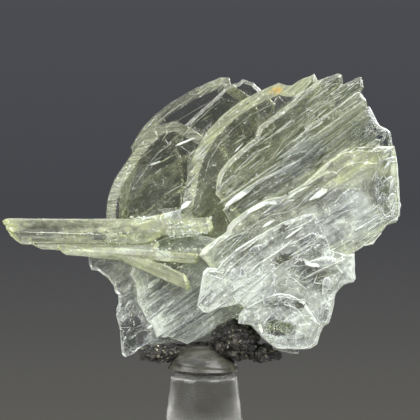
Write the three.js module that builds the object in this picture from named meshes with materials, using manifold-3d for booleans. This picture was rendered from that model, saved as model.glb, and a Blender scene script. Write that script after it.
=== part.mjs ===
// A barite specimen on its display stand: a fan of bevelled tabular crystals grown from one root
// with a bundle of laths across its left side, a crust of dark rock with pyrite cubes, a lump of
// grey putty and a clear turned stand. Millimetres, +Z up, +Y away from the viewer.
// The origin is the centre of the stand's foot, on the surface that it rests on.
import * as THREE from "three";
import { mergeVertices } from "three/addons/utils/BufferGeometryUtils.js";
import Module from "manifold-3d";

const wasm = await Module();
wasm.setup();

// Driving dimensions.
const STAND_HEIGHT = 20;
const STAND_TOP_RADIUS = 6;
const STAND_TAPER = 0.1;
const FOOT_RADIUS = 16;
const FOOT_THICKNESS = 3;
const NODE_GAP = 0.3;

// Every crystal of the fan passes near this point, where they lean and turn about.
const FAN_CENTRE = { x: 8, z: 45 };

// Colours and finishes.
const FINISH = {
  barite: { color: 0xb9bea0, roughness: 0.15, metalness: 0 },
  darkRock: { color: 0x38332b, roughness: 0.8, metalness: 0.1 },
  putty: { color: 0x8c8d80, roughness: 0.6, metalness: 0 },
  acrylic: { color: 0xd8d8d2, roughness: 0.08, metalness: 0 },
};

// A seeded source of numbers from 0 to 1, so that each build gives the same part.
function seeded(seed) {
  let state = seed;
  return () => {
    state = (state * 1664525 + 1013904223) % 4294967296;
    return state / 4294967296;
  };
}

function toSolid(geometry) {
  const bare = geometry.clone();
  bare.deleteAttribute("normal");
  bare.deleteAttribute("uv");
  const merged = mergeVertices(bare, 1e-4);
  return new wasm.Manifold(
    new wasm.Mesh({
      numProp: 3,
      vertProperties: merged.attributes.position.array,
      triVerts: new Uint32Array(merged.index.array),
    }),
  );
}

function toGeometry(solid) {
  const mesh = solid.getMesh();
  return new THREE.BufferGeometry()
    .setAttribute("position", new THREE.BufferAttribute(new Float32Array(mesh.vertProperties), 3))
    .setIndex(new THREE.BufferAttribute(new Uint32Array(mesh.triVerts), 1))
    .toNonIndexed();
}

function joined(solids) {
  return solids.reduce((whole, solid) => whole.add(solid));
}

// The largest body of a solid, without the crumbs that a cut leaves beside it.
function largest(solid) {
  return solid.decompose().reduce((best, body) => (body.volume() > best.volume() ? body : best));
}

// Points on the circle through a, b and c, from a to c. An outline spreads them in place of corners.
function arc(a, b, c, steps) {
  const d = 2 * (a[0] * (b[1] - c[1]) + b[0] * (c[1] - a[1]) + c[0] * (a[1] - b[1]));
  const [aa, bb, cc] = [a, b, c].map(([x, z]) => x * x + z * z);
  const cx = (aa * (b[1] - c[1]) + bb * (c[1] - a[1]) + cc * (a[1] - b[1])) / d;
  const cz = (aa * (c[0] - b[0]) + bb * (a[0] - c[0]) + cc * (b[0] - a[0])) / d;
  const angle = (p) => Math.atan2(p[1] - cz, p[0] - cx);
  const turn = (from, to) => THREE.MathUtils.euclideanModulo(to - from, 2 * Math.PI);
  const radius = Math.hypot(a[0] - cx, a[1] - cz);
  let sweep = turn(angle(a), angle(c));
  if (turn(angle(a), angle(b)) > sweep) sweep -= 2 * Math.PI;
  return Array.from({ length: steps + 1 }, (_, i) => {
    const t = angle(a) + (sweep * i) / steps;
    return [cx + radius * Math.cos(t), cz + radius * Math.sin(t)];
  });
}

function signedArea(points) {
  return points.reduce((sum, [x, z], i) => {
    const [nx, nz] = points[(i + 1) % points.length];
    return sum + (x * nz - nx * z) / 2;
  }, 0);
}

// The outline moved inwards by up to the given distance. Where a short edge or a notch would fold
// over, its two corners move less.
function inset(points, distance) {
  const n = points.length;
  const inward = points.map((p, i) => {
    const q = points[(i + 1) % n];
    const length = Math.hypot(q[0] - p[0], q[1] - p[1]);
    return [-(q[1] - p[1]) / length, (q[0] - p[0]) / length];
  });
  const miter = points.map((_, i) => {
    const a = inward[(i + n - 1) % n];
    const b = inward[i];
    const scale = 1 / Math.max(0.5, 1 + a[0] * b[0] + a[1] * b[1]);
    return [(a[0] + b[0]) * scale, (a[1] + b[1]) * scale];
  });
  const reach = points.map(() => distance);
  const moved = () => points.map((p, i) => [p[0] + miter[i][0] * reach[i], p[1] + miter[i][1] * reach[i]]);
  for (let round = 0; round < 40; round += 1) {
    const now = moved();
    let folded = false;
    points.forEach((p, i) => {
      const j = (i + 1) % n;
      const along = [points[j][0] - p[0], points[j][1] - p[1]];
      const after = [now[j][0] - now[i][0], now[j][1] - now[i][1]];
      if (along[0] * after[0] + along[1] * after[1] < 0.15 * (along[0] ** 2 + along[1] ** 2)) {
        reach[i] *= 0.75;
        reach[j] *= 0.75;
        folded = true;
      }
    });
    if (!folded) break;
  }
  return moved();
}

// A closed solid through rings of equal length: each ring is a list of [x, y, z] points.
function skin(rings, capTriangles) {
  const n = rings[0].length;
  const faces = [];
  const last = (rings.length - 1) * n;
  for (let r = 0; r + 1 < rings.length; r += 1) {
    for (let i = 0; i < n; i += 1) {
      const [a, b] = [r * n + i, r * n + ((i + 1) % n)];
      faces.push(a, b, b + n, a, b + n, a + n);
    }
  }
  capTriangles.forEach(([a, b, c]) => {
    faces.push(a, c, b);
    faces.push(last + a, last + b, last + c);
  });
  const geometry = new THREE.BufferGeometry()
    .setAttribute("position", new THREE.Float32BufferAttribute(rings.flat(2), 3))
    .setIndex(faces);
  return toSolid(geometry);
}

// A tabular crystal: the outline in the front view, and both faces bevelled down to a sharp rim.
// depth is the mid-plane's y at the fan's centre; it leans back and turns by the angles given.
function tablet({ outline, depth, thickness, bevel, lean = 0, turn = 0 }) {
  const rim = signedArea(outline) > 0 ? outline : [...outline].reverse();
  const face = inset(rim, bevel);
  const caps = THREE.ShapeUtils.triangulateShape(
    face.map(([x, z]) => new THREE.Vector2(x, z)),
    [],
  );
  const leanSlope = Math.tan(THREE.MathUtils.degToRad(lean));
  const turnSlope = Math.tan(THREE.MathUtils.degToRad(turn));
  const half = thickness / 2;
  const ring = (points, y) =>
    points.map(([x, z]) => [
      x,
      depth + y + (z - FAN_CENTRE.z) * leanSlope + (x - FAN_CENTRE.x) * turnSlope,
      z,
    ]);
  return skin([ring(face, half), ring(rim, 0), ring(face, -half)], caps);
}

// The big crystals of the fan, from the back to the front.
const FAN_TABLETS = [
  {
    // Rearmost, low on the left.
    outline: [[-12.6, 30.6], [-13, 34], [-10.8, 37.4], [-6, 41], [0, 44.2], [6, 46.8], [8.6, 47.2],
      [9.2, 45], [12, 42], [10, 34], [4, 29.4], [-4, 27.4], [-9, 28.2]],
    depth: 8.4, thickness: 1.3, bevel: 0.8, lean: -3, turn: -1,
  },
  {
    // Rearmost, low on the right.
    outline: [[3, 33], [2.4, 37], [5.6, 41.4], [12, 45.6], [20, 49.6], [26.6, 52.4], [30.4, 53.6],
      [31.4, 52.2], [31, 50.4], [32.2, 49.4], [29.8, 45.4], [26.4, 40], [22.4, 33.6], [20, 30],
      [14, 28], [8, 28.6]],
    depth: 7.8, thickness: 1.5, bevel: 0.9, lean: 0, turn: 2,
  },
  {
    // Rear left.
    outline: [[-15.6, 42], [-15.8, 46.8], [-14, 51.4], [-10.4, 55.4], [-5, 58.6], [0.6, 61],
      [3.4, 61.6], [4.4, 59.8], [6.6, 54], [5, 46], [-4, 38.6], [-11, 38]],
    depth: 6.6, thickness: 1.4, bevel: 1, lean: 5, turn: -4,
  },
  {
    // Rear right, in the middle.
    outline: [[6, 46], [5.2, 50], [8, 54], [15, 58.6], [22, 62.4], [27.4, 64.8], [29.6, 65.4],
      [30.4, 64], [30.2, 62.2], [32.6, 61.2], [33, 59], [31, 52], [24, 44], [14, 40]],
    depth: 6.6, thickness: 1.4, bevel: 0.9, lean: 3, turn: 2,
  },
  {
    // Rear, the tall blade behind the tips.
    outline: [[3, 48], [1.4, 55], [3.4, 60], [8, 64.4], [14, 68.4], [19.6, 71.8], [22.4, 72.8],
      [23.4, 71.8], [23.2, 69.2], [25.8, 67.6], [26.4, 64.6], [24, 54], [16, 44], [8, 42]],
    depth: 5.5, thickness: 1.3, bevel: 1, lean: 5, turn: 1,
  },
  {
    // Upper left, with the long curved rim.
    outline: [[-13.2, 60.3], ...arc([-13.5, 61], [-9.4, 66.6], [-5, 69.8], 5),
      ...arc([-3.9, 70.5], [-1, 72.1], [3, 73.8], 3), [4.6, 73.8], [4.9, 72.6], [9, 70], [12, 60],
      [13, 46], [5, 40], [-5, 44], [-11, 53]],
    depth: 5, thickness: 1.3, bevel: 1.2, lean: 5, turn: -3,
  },
  {
    // Thin blade behind the great sheet.
    outline: [[-5.8, 61.6], [-4.1, 64.5], [-2, 66.7], [1, 69.3], [3.6, 71.8], [5.2, 72.6], [6.3, 72.9],
      [7, 73.5], [7.7, 73.3], [9, 72.8], [10, 71.9], [13, 69], [12, 56], [6, 46], [0, 50], [-4, 57]],
    depth: 3.7, thickness: 0.9, bevel: 0.7, lean: 5, turn: -2,
  },
  {
    // Middle left, down to the laths.
    outline: [[-17.9, 45], ...arc([-17.8, 48.4], [-17.1, 53.4], [-15.9, 56], 4), [-13, 60.2],
      [-11, 62.8], [-8.4, 65.2], [-5, 66], [2, 62], [8, 54], [6, 44], [-2, 38], [-12, 40]],
    depth: 3.1, thickness: 1.6, bevel: 1.2, lean: 4, turn: -3,
  },
  {
    // Lower left, broken along its edge.
    outline: [[-21, 43.5], [-20.9, 40], [-20.5, 38.9], [-19.3, 38.8], [-17.6, 37.6], [-16.4, 36],
      [-16.2, 35], [-15.6, 34.4], [-15.5, 33], [-15.9, 31.9], [-15.9, 30.3], [-15.3, 28], [-15.1, 25.4],
      [-14.9, 23.4], [-14.3, 23], [-12.8, 23.7], [-10.6, 25.2], [-4, 26], [6, 28], [12, 36], [8, 46],
      [-4, 50], [-16, 47]],
    depth: 2.3, thickness: 1.3, bevel: 0.6, lean: 1, turn: -2,
  },
  {
    // Right shoulder, clear.
    outline: [[28.4, 68.2], [29.9, 68.6], [31.8, 65.1], [33, 64.6], [33.7, 64], [34.1, 61.5], [33, 54],
      [26, 49], [20, 53], [23, 63]],
    depth: 1.2, thickness: 1.3, bevel: 0.8, lean: 3, turn: 2,
  },
  {
    // Lower left, in front of the one before.
    outline: [[-13.4, 38.2], [-12.4, 36.6], [-12, 33.2], [-10.3, 30], [-9, 28], [-8.6, 26.7],
      [-7, 26.9], [-5, 26.5], [-3.1, 25.7], [0, 27], [3, 29.2], [8, 31], [10, 38], [6, 44], [-4, 46],
      [-12, 43]],
    depth: 0.9, thickness: 1.2, bevel: 0.6, lean: 1, turn: -2,
  },
  {
    // The great sheet, with the wide pale rim.
    outline: [[-4.3, 49.3], [-3.2, 54.6], [-2.7, 57.6], [-1.8, 60.2],
      ...arc([0, 63.3], [3.9, 67.5], [9.5, 71.1], 6), [11, 71.8], [13.5, 72.9], [15, 72.4],
      [15.9, 72.4], [17, 73.2], [19.9, 74.5], [20.6, 73.3], [24, 66], [22, 55], [14, 46], [4, 42],
      [-2, 44]],
    depth: 1.9, thickness: 1.7, bevel: 1.7, lean: 4, turn: -2,
  },
  {
    // The pointed sheet in the middle.
    outline: [[2, 52.8], [2.1, 54.5], [2.4, 56], [3, 57.3], [5, 59.6], [8.2, 62.3], [9.1, 62.9],
      [9.4, 64], [9.9, 65.2], [12, 66.7], [16, 69.7], [20.3, 73.3], [23, 74.2], [24.1, 74.6],
      [24.8, 74.3], [25, 72.5], [27, 66], [25, 56], [16, 48], [7, 48]],
    depth: 0.1, thickness: 1.4, bevel: 0.9, lean: 3, turn: -1,
  },
  {
    // Tip at the upper right.
    outline: [[17.9, 68.5], [19.6, 68], [21.2, 69.6], [24.9, 72.5], [27.4, 73.8], [28.2, 74],
      [28.7, 72.1], [28.1, 71.1], [27, 63], [22, 54], [14, 50], [9.4, 54], [12.6, 62.4]],
    depth: -1.2, thickness: 1.2, bevel: 0.6, lean: 3, turn: 0,
  },
  {
    // Shoulder below the tips.
    outline: [[18.4, 65], [25, 69.4], [28.1, 71.1], [29.1, 69.8], [29.3, 68.4], [28.6, 62], [24, 53],
      [15, 49], [11.4, 55]],
    depth: -2.2, thickness: 1.1, bevel: 0.5, lean: 2, turn: 1,
  },
  {
    // Blade whose bright edge shows between the pointed sheet and the milky one.
    outline: [[3.4, 50.2], [5.6, 52.8], [9.6, 55.4], [15, 58.2], [21.6, 61], [23, 58], [20, 50],
      [12, 46], [6, 46]],
    depth: -1.6, thickness: 1, bevel: 0.5, lean: 2, turn: 0.5,
  },
  {
    // Root behind, where the rear ones join.
    outline: [[-3.4, 33], [2, 28.6], [9, 28.4], [18, 27.6], [21.6, 33], [25, 40], [28.5, 47],
      [29.4, 54], [25, 57.4], [17, 55], [8, 50], [0, 43.5]],
    depth: 3.9, thickness: 5.8, bevel: 2, lean: 2, turn: 1,
  },
  {
    // Root in front, hidden by the sheets of the right side.
    outline: [[3, 35], [9, 30.6], [18, 28.6], [20.6, 33], [23.4, 40], [26, 44], [27, 51], [22, 53.6],
      [13, 50.6], [6, 46], [3, 41]],
    depth: -1.4, thickness: 4.6, bevel: 1, lean: 1, turn: 1,
  },
  {
    // The milky sheet that makes the right side.
    outline: [[-0.9, 42.2], [-0.4, 43.2], [1.5, 44.6], [4, 46.4], [4.2, 47.3], [5.1, 48.4], [8, 50.5],
      [11, 52.1], [14, 52.7], [17.5, 54.7], [20, 57], [22, 59.4], [24, 61], [27.5, 61.8], [30, 61.5],
      [34, 61.7], [34.6, 58.5], [35, 53.5], [35.1, 49.3], [34.4, 48], [32.7, 47.4], [31, 45.2],
      [30.3, 44], [28.7, 43.8], [27.1, 42.8], [24, 38], [12, 36], [3, 38]],
    depth: -3.1, thickness: 1.9, bevel: 0.9, lean: 1, turn: 1.5,
  },
  {
    // Lower right, frosted.
    outline: [[8, 44], [15, 48], [22, 47], [27, 42.8], [27, 39.5], [27.2, 37.9], [26.8, 37.3],
      [25, 36.8], [23.6, 35.2], [23.1, 32.4], [22.4, 29.9], [21.5, 29.4], [20.8, 28], [20.3, 26.1],
      [19, 25.3], [13, 25.4], [10.2, 27.6], [9, 31], [5, 35]],
    depth: -3.8, thickness: 1.7, bevel: 0.7, lean: 0, turn: 1,
  },
  {
    // Lower middle, with the long straight rim.
    outline: [[-0.2, 39.4], [0.6, 40.2], [2.4, 40], [3.2, 41.2], [7, 44.2], [9, 45.4], [14, 48.2],
      [20, 50.4], [22, 46], [15, 38], [7, 33.6], [3, 33], [0.8, 32.1], [-0.3, 32.2], [-1.2, 33.5],
      [-0.7, 36.4]],
    depth: -4.6, thickness: 1.3, bevel: 0.7, lean: -1, turn: 1,
  },
  {
    // Next rim to the right.
    outline: [[4.5, 36.5], [5.3, 37.7], [8.7, 40.3], [12, 43], [15.8, 45.1], [19.4, 46.8], [22, 45.6],
      [24.4, 41], [20, 35], [13, 32], [7.5, 33], [5.6, 34]],
    depth: -5.5, thickness: 1.2, bevel: 0.6, lean: -1.5, turn: 1,
  },
  {
    // Small sheet high on the lower right.
    outline: [[14.2, 39.6], [15.4, 40.7], [17, 41.8], [19, 41.2], [23.2, 41.2], [24.8, 39.2], [23, 36],
      [18.3, 36], [15, 38.2]],
    depth: -6.2, thickness: 0.9, bevel: 0.4, lean: -2, turn: 2,
  },
  {
    // Lowest rounded rim.
    outline: [[6.2, 31.7], ...arc([7.4, 32.9], [13.6, 35.4], [18, 33.9], 6), [20.5, 30], [19, 27.4],
      [13, 27.2], [10.4, 27.7], [8.4, 29.7], [6.1, 30]],
    depth: -5.6, thickness: 1.2, bevel: 0.5, lean: -3, turn: 1,
  },
  {
    // Strip under the lower right.
    outline: [[12.3, 25.6], [12.5, 24.9], [16.3, 24.2], [17, 24.3], [17.2, 25.6], [17, 33], [12.5, 33]],
    depth: -1.4, thickness: 0.8, bevel: 0.3, lean: 0, turn: 0,
  },
];

// Parallel ribs on the sheets: each is a long flat wedge along the growth direction. first and last
// are the centre lines of the end ones, y is the depth of each, and lean is their sheet's.
const RIB_GROUPS = [
  { count: 6, first: [[17.5, 61.8], [28.2, 69.6]], last: [[22.5, 55.8], [31, 62.6]],
    y: [-2.6, -2.7], lean: 2, width: 1.5 },
  { count: 3, first: [[4.6, 52.4], [13, 58.2]], last: [[8, 50.8], [17, 56.6]],
    y: [-0.6, -1.6], lean: 2, width: 1.2 },
  { count: 5, first: [[-10.2, 34.8], [-4.6, 39.6]], last: [[-5, 27.4], [4, 33]],
    y: [0.6, 0.4], lean: 1, width: 1.3 },
  { count: 4, first: [[13, 47.5], [26, 54.5]], last: [[19, 44.2], [30.5, 48.8]],
    y: [-3.9, -4], lean: 1, width: 1.6 },
  { count: 4, first: [[8, 49.6], [23, 58]], last: [[12, 42], [27.6, 50.6]],
    y: [8.1, 8.7], lean: 1, width: 1.7 },
  { count: 3, first: [[-11, 48], [-1, 56]], last: [[-7, 42.8], [3, 50.6]],
    y: [8.4, 7.6], lean: 5, width: 1.6 },
  { count: 3, first: [[8, 58.6], [18.6, 66.4]], last: [[13, 55.4], [23.4, 63]],
    y: [7.4, 7.8], lean: 5, width: 1.4 },
];

function rib(start, end, y, lean, width, height) {
  const along = new THREE.Vector2(end[0] - start[0], end[1] - start[1]).normalize();
  const [sx, sz] = [-along.y * width * 0.5, along.x * width * 0.5];
  const shoulder = [start[0] + along.x * width * 2.4, start[1] + along.y * width * 2.4];
  const outline = [
    start,
    [shoulder[0] - sx, shoulder[1] - sz],
    [end[0] - sx, end[1] - sz],
    [end[0] + along.x * width * 0.4, end[1] + along.y * width * 0.4],
    [end[0] + sx, end[1] + sz],
    [shoulder[0] + sx, shoulder[1] + sz],
  ];
  const rise = (start[1] + end[1]) / 2 - FAN_CENTRE.z;
  const depth = y - rise * Math.tan(THREE.MathUtils.degToRad(lean));
  return tablet({ outline, depth, thickness: height, bevel: width * 0.3, lean });
}

function ribs() {
  const mix = THREE.MathUtils.lerp;
  const random = seeded(11);
  return RIB_GROUPS.flatMap(({ count, first, last, y, lean, width }) =>
    Array.from({ length: count }, (_, i) => {
      const t = i / (count - 1);
      const slip = (random() - 0.5) * 2;
      const start = [mix(first[0][0], last[0][0], t) + slip, mix(first[0][1], last[0][1], t) + slip * 0.6];
      const end = [mix(first[1][0], last[1][0], t), mix(first[1][1], last[1][1], t)];
      return rib(start, end, mix(y[0], y[1], t), lean, width, 1 + 0.5 * random());
    }),
  );
}

// The laths: each runs from its free end at the left to its end over the fan, with an eight-sided
// section. start and end are [x, y, z] on its centre line, rise and thick are the section's height
// and depth, and each end is cut slanting, by cut mm further in at the bottom than at the top.
const LATHS = [
  { start: [-36.3, -0.9, 46.3], end: [-5, -0.7, 46.2], rise: 4.6, thick: 3.8, cut: [2.4, 4.6] },
  { start: [-14.5, -0.8, 46.4], end: [1.2, -1.5, 47.5], rise: 2.8, thick: 2.8, cut: [1, -0.6] },
  { start: [-13.6, 0.4, 47.2], end: [-7.2, 0.2, 48.6], rise: 1.7, thick: 1.9, cut: [0.6, 0.6] },
  { start: [-32.4, -0.6, 44.4], end: [-8, -0.4, 43.2], rise: 2.4, thick: 2.8, cut: [2.6, 1] },
  { start: [-26.8, -1, 43.2], end: [-0.8, -1.2, 41.4], rise: 2.1, thick: 2.4, cut: [1.6, 0.4] },
  { start: [-22.6, -0.4, 43.2], end: [-8.6, -0.3, 41.9], rise: 3, thick: 2.6, cut: [1.8, 1] },
  { start: [-15.6, -0.9, 42.6], end: [-3, -1.7, 37.1], rise: 2.8, thick: 2.4, cut: [1, -0.8] },
];

function lath({ start, end, rise, thick, cut }) {
  const a = new THREE.Vector3(...start);
  const b = new THREE.Vector3(...end);
  const along = b.clone().sub(a).normalize();
  const up = new THREE.Vector3(0, 0, 1);
  const front = new THREE.Vector3().crossVectors(along, up).normalize();
  const [h, t] = [rise / 2, thick / 2];
  const length = a.distanceTo(b);
  // Corners of the section as [towards the viewer, up], from the ridge on the front face down.
  const section = [
    [1, 0], [0.85, -0.8], [0.2, -1], [-0.6, -0.9], [-1, -0.1], [-0.8, 0.75], [0, 1], [0.75, 0.9],
  ];
  const ring = (distance, slant, shrink, shift) =>
    section.map(([f, u]) =>
      a.clone()
        .addScaledVector(along, distance + (slant * (1 - u)) / 2)
        .addScaledVector(front, f * t * shrink)
        .addScaledVector(up, u * h * shrink + shift)
        .toArray(),
    );
  const rings = [
    ring(0, cut[0] * 0.7, 0.62, h * 0.22),
    ring(h * 0.45, cut[0], 1, 0),
    ring(length - h * 0.4, -cut[1], 1, 0),
    ring(length, -cut[1] * 0.7, 0.66, h * 0.1),
  ];
  return skin(rings, Array.from({ length: section.length - 2 }, (_, i) => [0, i + 1, i + 2]));
}

// Smooth noise from a few waves, from about -1 to 1.
function ripple(x, y, z, size) {
  const [a, b, c] = [x / size, y / size, z / size];
  return (
    (Math.sin(a * 2.1 + 1.3 * Math.sin(b * 1.7 + 0.4)) +
      Math.sin(b * 2.4 + 1.1 * Math.sin(c * 1.9 + 2.1)) +
      Math.sin(c * 2.2 + 1.2 * Math.sin(a * 2.3 + 4.2))) /
    3
  );
}

// A lump of rock: a ball stretched to its half sizes and roughened.
function lump({ centre, half, rough, detail }, grow) {
  const ball = new THREE.IcosahedronGeometry(1, detail);
  const p = ball.attributes.position;
  for (let i = 0; i < p.count; i += 1) {
    const [x, y, z] = [p.getX(i), p.getY(i), p.getZ(i)];
    const swell = 1 + rough * ripple(x * half[0] + centre[0], y * half[1], z * half[2] + centre[2], 0.8);
    p.setXYZ(
      i,
      centre[0] + x * (half[0] * swell + grow),
      centre[1] + y * (half[1] * swell + grow),
      centre[2] + z * (half[2] * swell + grow),
    );
  }
  return toSolid(ball);
}

// The crust: a lump at the right, a smaller one at the left and the low web between them.
const LUMPS = [
  { centre: [5.6, -0.6, 26.6], half: [4.2, 4.4, 3.6], rough: 0.24, detail: 3 },
  { centre: [10.6, 0.4, 24.1], half: [3.4, 3.6, 1.6], rough: 0.2, detail: 2 },
  { centre: [-8, 0.4, 24], half: [4.1, 3.6, 1.4], rough: 0.22, detail: 2 },
  { centre: [-1, 2.2, 24.4], half: [6.5, 3, 1.3], rough: 0.1, detail: 2 },
];

function pyriteCubes(grow) {
  const random = seeded(5);
  const cubes = [];
  for (const { centre, half } of LUMPS.slice(0, 3)) {
    for (let i = 0; i < 8; i += 1) {
      const azimuth = random() * 2 * Math.PI;
      const height = (random() * 2 - 1) * 0.9;
      const flat = Math.sqrt(1 - height * height);
      const size = 0.5 + 0.5 * random();
      const place = new THREE.Matrix4().makeRotationFromEuler(
        new THREE.Euler(random() * 3, random() * 3, random() * 3),
      );
      place.setPosition(
        centre[0] + half[0] * flat * Math.cos(azimuth) * 0.92,
        centre[1] + half[1] * flat * Math.sin(azimuth) * 0.92,
        centre[2] + half[2] * height * 0.92,
      );
      const edge = size + 2 * grow;
      cubes.push(toSolid(new THREE.BoxGeometry(edge, edge, edge).applyMatrix4(place)));
    }
  }
  return cubes;
}

function rock(grow) {
  return joined([...LUMPS.map((each) => lump(each, grow)), ...pyriteCubes(grow)]);
}

// The putty: a lens pressed on the stand's top, with soft dents from the fingers.
function putty() {
  const ball = new THREE.SphereGeometry(1, 20, 12);
  const p = ball.attributes.position;
  for (let i = 0; i < p.count; i += 1) {
    const [x, y, z] = [p.getX(i), p.getZ(i), p.getY(i)];
    const dent = 1 + 0.04 * ripple(x * 6, y * 6, z * 3, 2.4);
    const flatBottom = Math.max(z, -0.16);
    const height = STAND_HEIGHT + NODE_GAP + 0.75 + 4.6 * flatBottom;
    p.setXYZ(i, -0.2 + 6.9 * x * dent, -0.5 - 5.6 * y * dent, height);
  }
  return toSolid(ball);
}

// The stand: a clear cone that widens to a round foot, turned about the z axis.
function standGeometry() {
  const footTop = FOOT_THICKNESS;
  const neckRadius = STAND_TOP_RADIUS + STAND_TAPER * (STAND_HEIGHT - footTop);
  const profile = [
    [0, 0],
    [FOOT_RADIUS - 0.5, 0],
    [FOOT_RADIUS, 0.5],
    [FOOT_RADIUS, footTop - 0.8],
    [FOOT_RADIUS - 0.8, footTop],
    [neckRadius + 1.4, footTop],
    [neckRadius + 0.4, footTop + 0.5],
    [neckRadius, footTop + 1.6],
    [STAND_TOP_RADIUS, STAND_HEIGHT - 0.3],
    [STAND_TOP_RADIUS - 0.3, STAND_HEIGHT],
    [0, STAND_HEIGHT],
  ];
  const turned = new THREE.LatheGeometry(profile.map(([r, z]) => new THREE.Vector2(r, z)), 36);
  return turned.rotateX(Math.PI / 2);
}

function mesh(name, geometry, finish) {
  const made = new THREE.Mesh(geometry, new THREE.MeshStandardMaterial({ ...finish, flatShading: true }));
  made.name = name;
  return made;
}

const rockSolid = largest(rock(0));
const rockRoom = rock(NODE_GAP);
const crystals = joined([...FAN_TABLETS.map(tablet), ...ribs(), ...LATHS.map(lath)]);
const crystalSolid = largest(crystals.subtract(rockRoom));
const puttySolid = largest(putty().subtract(rockRoom));

const barite = new THREE.Group();
barite.add(
  mesh("barite_crystals", toGeometry(crystalSolid), FINISH.barite),
  mesh("matrix_rock", toGeometry(rockSolid), FINISH.darkRock),
  mesh("putty", toGeometry(puttySolid), FINISH.putty),
  mesh("stand", standGeometry(), FINISH.acrylic),
);

export default barite;
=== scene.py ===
"""A barite specimen on its display stand, dressed for its looks: a fan of clear to milky tabular
crystals with a bundle of laths, a crust of dark rock with pyrite, a lump of putty and a clear stand.
Metres, +Z up, +Y away from the viewer. The outlines below are in millimetres, in the front view."""

import math
import random

import bmesh
import bpy
from bpy.props import FloatProperty, FloatVectorProperty, IntProperty, PointerProperty, StringProperty
from mathutils import Matrix, Vector, noise


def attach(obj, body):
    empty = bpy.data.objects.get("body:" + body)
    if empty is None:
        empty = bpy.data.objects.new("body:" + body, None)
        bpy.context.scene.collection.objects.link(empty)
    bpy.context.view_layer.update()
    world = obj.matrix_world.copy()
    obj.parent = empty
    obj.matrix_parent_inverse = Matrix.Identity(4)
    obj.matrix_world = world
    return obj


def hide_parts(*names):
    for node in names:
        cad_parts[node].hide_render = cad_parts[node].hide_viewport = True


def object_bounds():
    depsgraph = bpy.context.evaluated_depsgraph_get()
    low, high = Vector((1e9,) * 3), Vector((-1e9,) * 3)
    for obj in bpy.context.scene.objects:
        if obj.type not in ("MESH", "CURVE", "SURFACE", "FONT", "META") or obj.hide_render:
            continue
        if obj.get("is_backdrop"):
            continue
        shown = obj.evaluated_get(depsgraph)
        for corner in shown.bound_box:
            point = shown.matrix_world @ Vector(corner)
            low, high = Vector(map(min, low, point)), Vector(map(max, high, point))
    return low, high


bl_info = {
    "name": "Barite specimen",
    "version": (1, 0, 0),
    "blender": (4, 5, 0),
    "location": "3D View > Sidebar > Barite",
    "description": "Dresses a barite specimen with its rock, putty and clear stand",
    "category": "Add Mesh",
}

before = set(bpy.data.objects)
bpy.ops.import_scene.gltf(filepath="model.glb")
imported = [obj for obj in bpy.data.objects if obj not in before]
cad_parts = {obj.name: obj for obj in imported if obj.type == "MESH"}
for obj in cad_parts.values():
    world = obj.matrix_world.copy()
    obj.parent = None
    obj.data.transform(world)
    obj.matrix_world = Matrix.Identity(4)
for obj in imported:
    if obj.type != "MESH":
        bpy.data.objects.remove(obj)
CAD_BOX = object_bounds()

MM = 0.001
SPECIMEN_MIDDLE = Vector((0, 0, 48 * MM))
FAN_CENTRE = (8.0, 45.0)  # the x and z about which the fan's crystals lean and turn
STAND_HEIGHT = 20.0
STAND_TOP_RADIUS = 6.0
STAND_TAPER = 0.1
FOOT_RADIUS = 16.0
FOOT_THICKNESS = 3.0
LOOKS = ("milk", "rim", "tone", "crazed")  # what each face of a crystal holds for its finish


def arc(a, b, c, steps):
    """Points on the circle through a, b and c, from a to c."""
    d = 2 * (a[0] * (b[1] - c[1]) + b[0] * (c[1] - a[1]) + c[0] * (a[1] - b[1]))
    aa, bb, cc = (p[0] ** 2 + p[1] ** 2 for p in (a, b, c))
    cx = (aa * (b[1] - c[1]) + bb * (c[1] - a[1]) + cc * (a[1] - b[1])) / d
    cz = (aa * (c[0] - b[0]) + bb * (a[0] - c[0]) + cc * (b[0] - a[0])) / d
    radius = math.hypot(a[0] - cx, a[1] - cz)
    start, middle, end = (math.atan2(p[1] - cz, p[0] - cx) for p in (a, b, c))
    sweep = (end - start) % math.tau
    if (middle - start) % math.tau > sweep:
        sweep -= math.tau
    turns = [start + sweep * i / steps for i in range(steps + 1)]
    return [(cx + radius * math.cos(t), cz + radius * math.sin(t)) for t in turns]


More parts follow.
